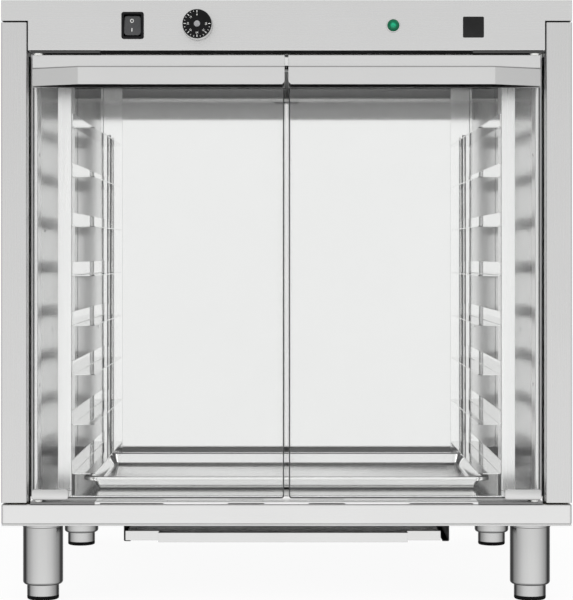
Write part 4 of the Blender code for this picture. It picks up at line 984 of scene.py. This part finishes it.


# clear pane inside a band of ground and bevelled edge, painted dark as painted shade for how a glass edge
# looks
def buildGlass():
    shape = glassShape
    band, bevel, corner = shape["band"], shape["bevel"], shape["corner"]
    for side in ("left", "right"):
        low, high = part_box("door_glass_" + side)
        spans = (low.x, high.x), (low.z, high.z)
        edge = [(band, high.y), (bevel, high.y), (0, high.y - bevel), (0, low.y + bevel), (bevel, low.y),
                (band, low.y)]
        addPiece("paneEdge_" + side, *rimmed(*spans, corner, edge, ring=True), "groundGlass",
                 "door_" + side, ["door_glass_" + side])
        pane = [(band, high.y), (band, low.y)]
        addPiece("pane_" + side, *rimmed(*spans, corner, pane), "doorGlass", "door_" + side)


buildGlass()

bracketShape = {"bottom": 0.1437, "corner": 0.0034, "edge": 0.0006, "pinRadius": 0.0028, "pinEdge": 0.0004,
                "pinInset": 0.0094, "pinDepth": 0.0038}


# section of a thick plate's rim: chamfered behind, rounded in front
def plateRim(front, rear, edge):
    soft = edge * 0.3
    return [(edge, rear), (0, rear - edge), (0, front + edge), (soft, front + soft), (edge, front)]


# shoe with rounded ends that holds the foot of the glass, with the hinge pin under it
def buildHingeShoes():
    shape = bracketShape
    for side, sign in (("left", -1), ("right", 1)):
        low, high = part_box("hinge_bracket_" + side)
        shoe = rimmed((low.x, high.x), (shape["bottom"], high.z), shape["corner"],
                      plateRim(low.y, high.y, shape["edge"]))
        pinX = sign * (max(abs(low.x), abs(high.x)) - shape["pinInset"])
        radius, edge, top = shape["pinRadius"], shape["pinEdge"], shape["bottom"] + shape["edge"]
        section = [(0, low.z), (radius - edge, low.z), (radius, low.z + edge), (radius, top), (0, top)]
        pin = revolved(section, (pinX, low.y + shape["pinDepth"], 0.0), (0, 0, 1), 32)
        addPiece("hingeShoe_" + side, *joined([shoe, pin]), "bracketSteel", "door_" + side,
                 ["hinge_bracket_" + side])


buildHingeShoes()

shadeStripShape = {"front": 0.0009, "depth": 0.0030, "bottom": 0.7563, "gap": 0.0001, "plateHeight": 0.0026,
             "outer": 0.3325, "stripFront": 0.0250, "stripBack": 0.0390, "stripBottom": 0.1410,
             "stripTop": 0.7550, "stripThickness": 0.0008}


# black rubber strips put in the gaps as painted shade: under the fascia above the doors, lower where the
# hinge plates are, and in the posts
def buildShadeStrips():
    shape = shadeStripShape
    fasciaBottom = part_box("control_fascia")[0].z - shape["gap"]
    plateLow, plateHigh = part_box("hinge_plate_top_right")
    plateBottom = plateHigh.z - shape["plateHeight"] - shape["gap"]
    y0, bottom = frontY + shape["front"], shape["bottom"]
    y1 = y0 + shape["depth"]
    inner, outer = plateLow.x - shape["gap"], shape["outer"]
    strips = [block((-inner, y0, bottom), (inner, y1, fasciaBottom)),
              block((inner, y0, bottom), (outer, y1, plateBottom)),
              block((-outer, y0, bottom), (-inner, y1, plateBottom))]
    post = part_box("side_panel_right")[0].x
    for sign in (-1, 1):
        ends = sorted((sign * post, sign * (post - shape["stripThickness"])))
        strips.append(block((ends[0], frontY + shape["stripFront"], shape["stripBottom"]),
                            (ends[1], frontY + shape["stripBack"], shape["stripTop"])))
    for index, strip in enumerate(strips):
        addPiece("shadeStrip%d" % index, *strip, "rubberBlack", "cabinet")


buildShadeStrips()

rodShape = {"x": 0.2880, "behind": 0.5070, "radius": 0.0031, "bottom": 0.1582, "top": 0.6742, "edge": 0.0008}


# polished tube over each tray stop rod
def buildRods():
    shape = rodShape
    radius, bottom, top, edge = shape["radius"], shape["bottom"], shape["top"], shape["edge"]
    profile = [(0, bottom), (radius, bottom), (radius, top - edge), (radius - edge, top), (0, top)]
    for side, sign in (("left", -1), ("right", 1)):
        centre = (sign * shape["x"], frontY + shape["behind"], 0.0)
        addPiece("stopRod_" + side, *revolved(profile, centre, (0, 0, 1), 32), "darkSidedRod", "cabinet")


buildRods()

catchShape = {"radius": 0.0009, "rise": 0.0005, "sink": 0.0002, "below": 0.0024}


# bright rivet in the middle of the catch magnet
def buildCatchRivet():
    low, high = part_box("catch_magnet")
    radius, rise, sink = catchShape["radius"], catchShape["rise"], catchShape["sink"]
    profile = [(0, -sink), (radius, -sink), (radius * 0.9, rise * 0.5), (radius * 0.5, rise * 0.9), (0, rise)]
    centre = ((low.x + high.x) / 2, low.y, high.z - catchShape["below"])
    addPiece("catchRivet", *revolved(profile, centre, (0, -1, 0), 24), "screwSteel", "cabinet")


buildCatchRivet()

# radius and bore of each ring
washerShape = {"hinge_washer_": (0.0052, 0.0031), "rail_bush_": (0.0065, 0.0023)}
washerEdge = 0.0008


# moulded rings round the hinge pins
def buildWashers():
    for side in ("left", "right"):
        for name, (radius, bore) in washerShape.items():
            low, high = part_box(name + side)
            centre = ((low.x + high.x) / 2, (low.y + high.y) / 2, 0.0)
            edge = min(washerEdge, (high.z - low.z) / 3)
            profile = [(bore, low.z), (radius - edge, low.z)]
            profile += arc((radius - edge, low.z + edge), edge, -90, 0, 4)
            profile += arc((radius - edge, high.z - edge), edge, 0, 90, 4) + [(bore, high.z)]
            addPiece("ring_" + name + side, *revolved(profile, centre, (0, 0, 1), 40, True), "nylonWhite",
                     "door_" + side, [name + side])


buildWashers()

screwShape = {"radius": 0.0026, "rise": 0.0009, "sink": 0.0003, "domeAngles": (0, 25, 50, 75),
              # side, depth behind the front face, height
              "places": [(-1, 0.060, 0.2985), (1, 0.064, 0.2985), (-1, 0.060, 0.6200), (1, 0.064, 0.6200),
                         (-1, 0.212, 0.3706), (1, 0.212, 0.3706), (-1, 0.122, 0.6519), (1, 0.120, 0.6519),
                         (-1, 0.125, 0.5145), (1, 0.125, 0.5145)]}


# small domed screw heads on the jambs and liners
def buildLinerScrews():
    shape = screwShape
    radius, rise, sink = shape["radius"], shape["rise"], shape["sink"]
    angle = np.radians(shape["domeAngles"])
    profile = [(0, -sink), (radius, -sink)]
    profile += np.column_stack((radius * np.cos(angle), rise * np.sin(angle))).tolist() + [(0, rise)]
    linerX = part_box("liner_right")[0].x
    heads = [revolved(profile, (side * linerX, frontY + depth, height), (-side, 0, 0), 24)
             for side, depth, height in shape["places"]]
    addPiece("linerScrews", *joined(heads), "screwSteel", "cabinet")


buildLinerScrews()

hemShape = {"inset": 0.0006, "front": 0.0001, "thickness": 0.0024, "bottom": 0.1080, "overlap": 0.0006,
            "edge": 0.0005, "corner": 0.0008, "leastCorner": 0.0001}


# folded hem along the foot of the apron
def buildHem():
    shape = hemShape
    low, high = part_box("base_tray")
    front = low.y + shape["front"]
    profile = plateRim(front, front + shape["thickness"], shape["edge"])
    spans = (low.x + shape["inset"], high.x - shape["inset"]), (shape["bottom"], low.z + shape["overlap"])
    addPiece("apronHem", *rimmed(*spans, shape["corner"], profile, leastRadius=shape["leastCorner"]),
             "apronSteel", "cabinet")


buildHem()
print("pan, seal, washers, screws and hem built")
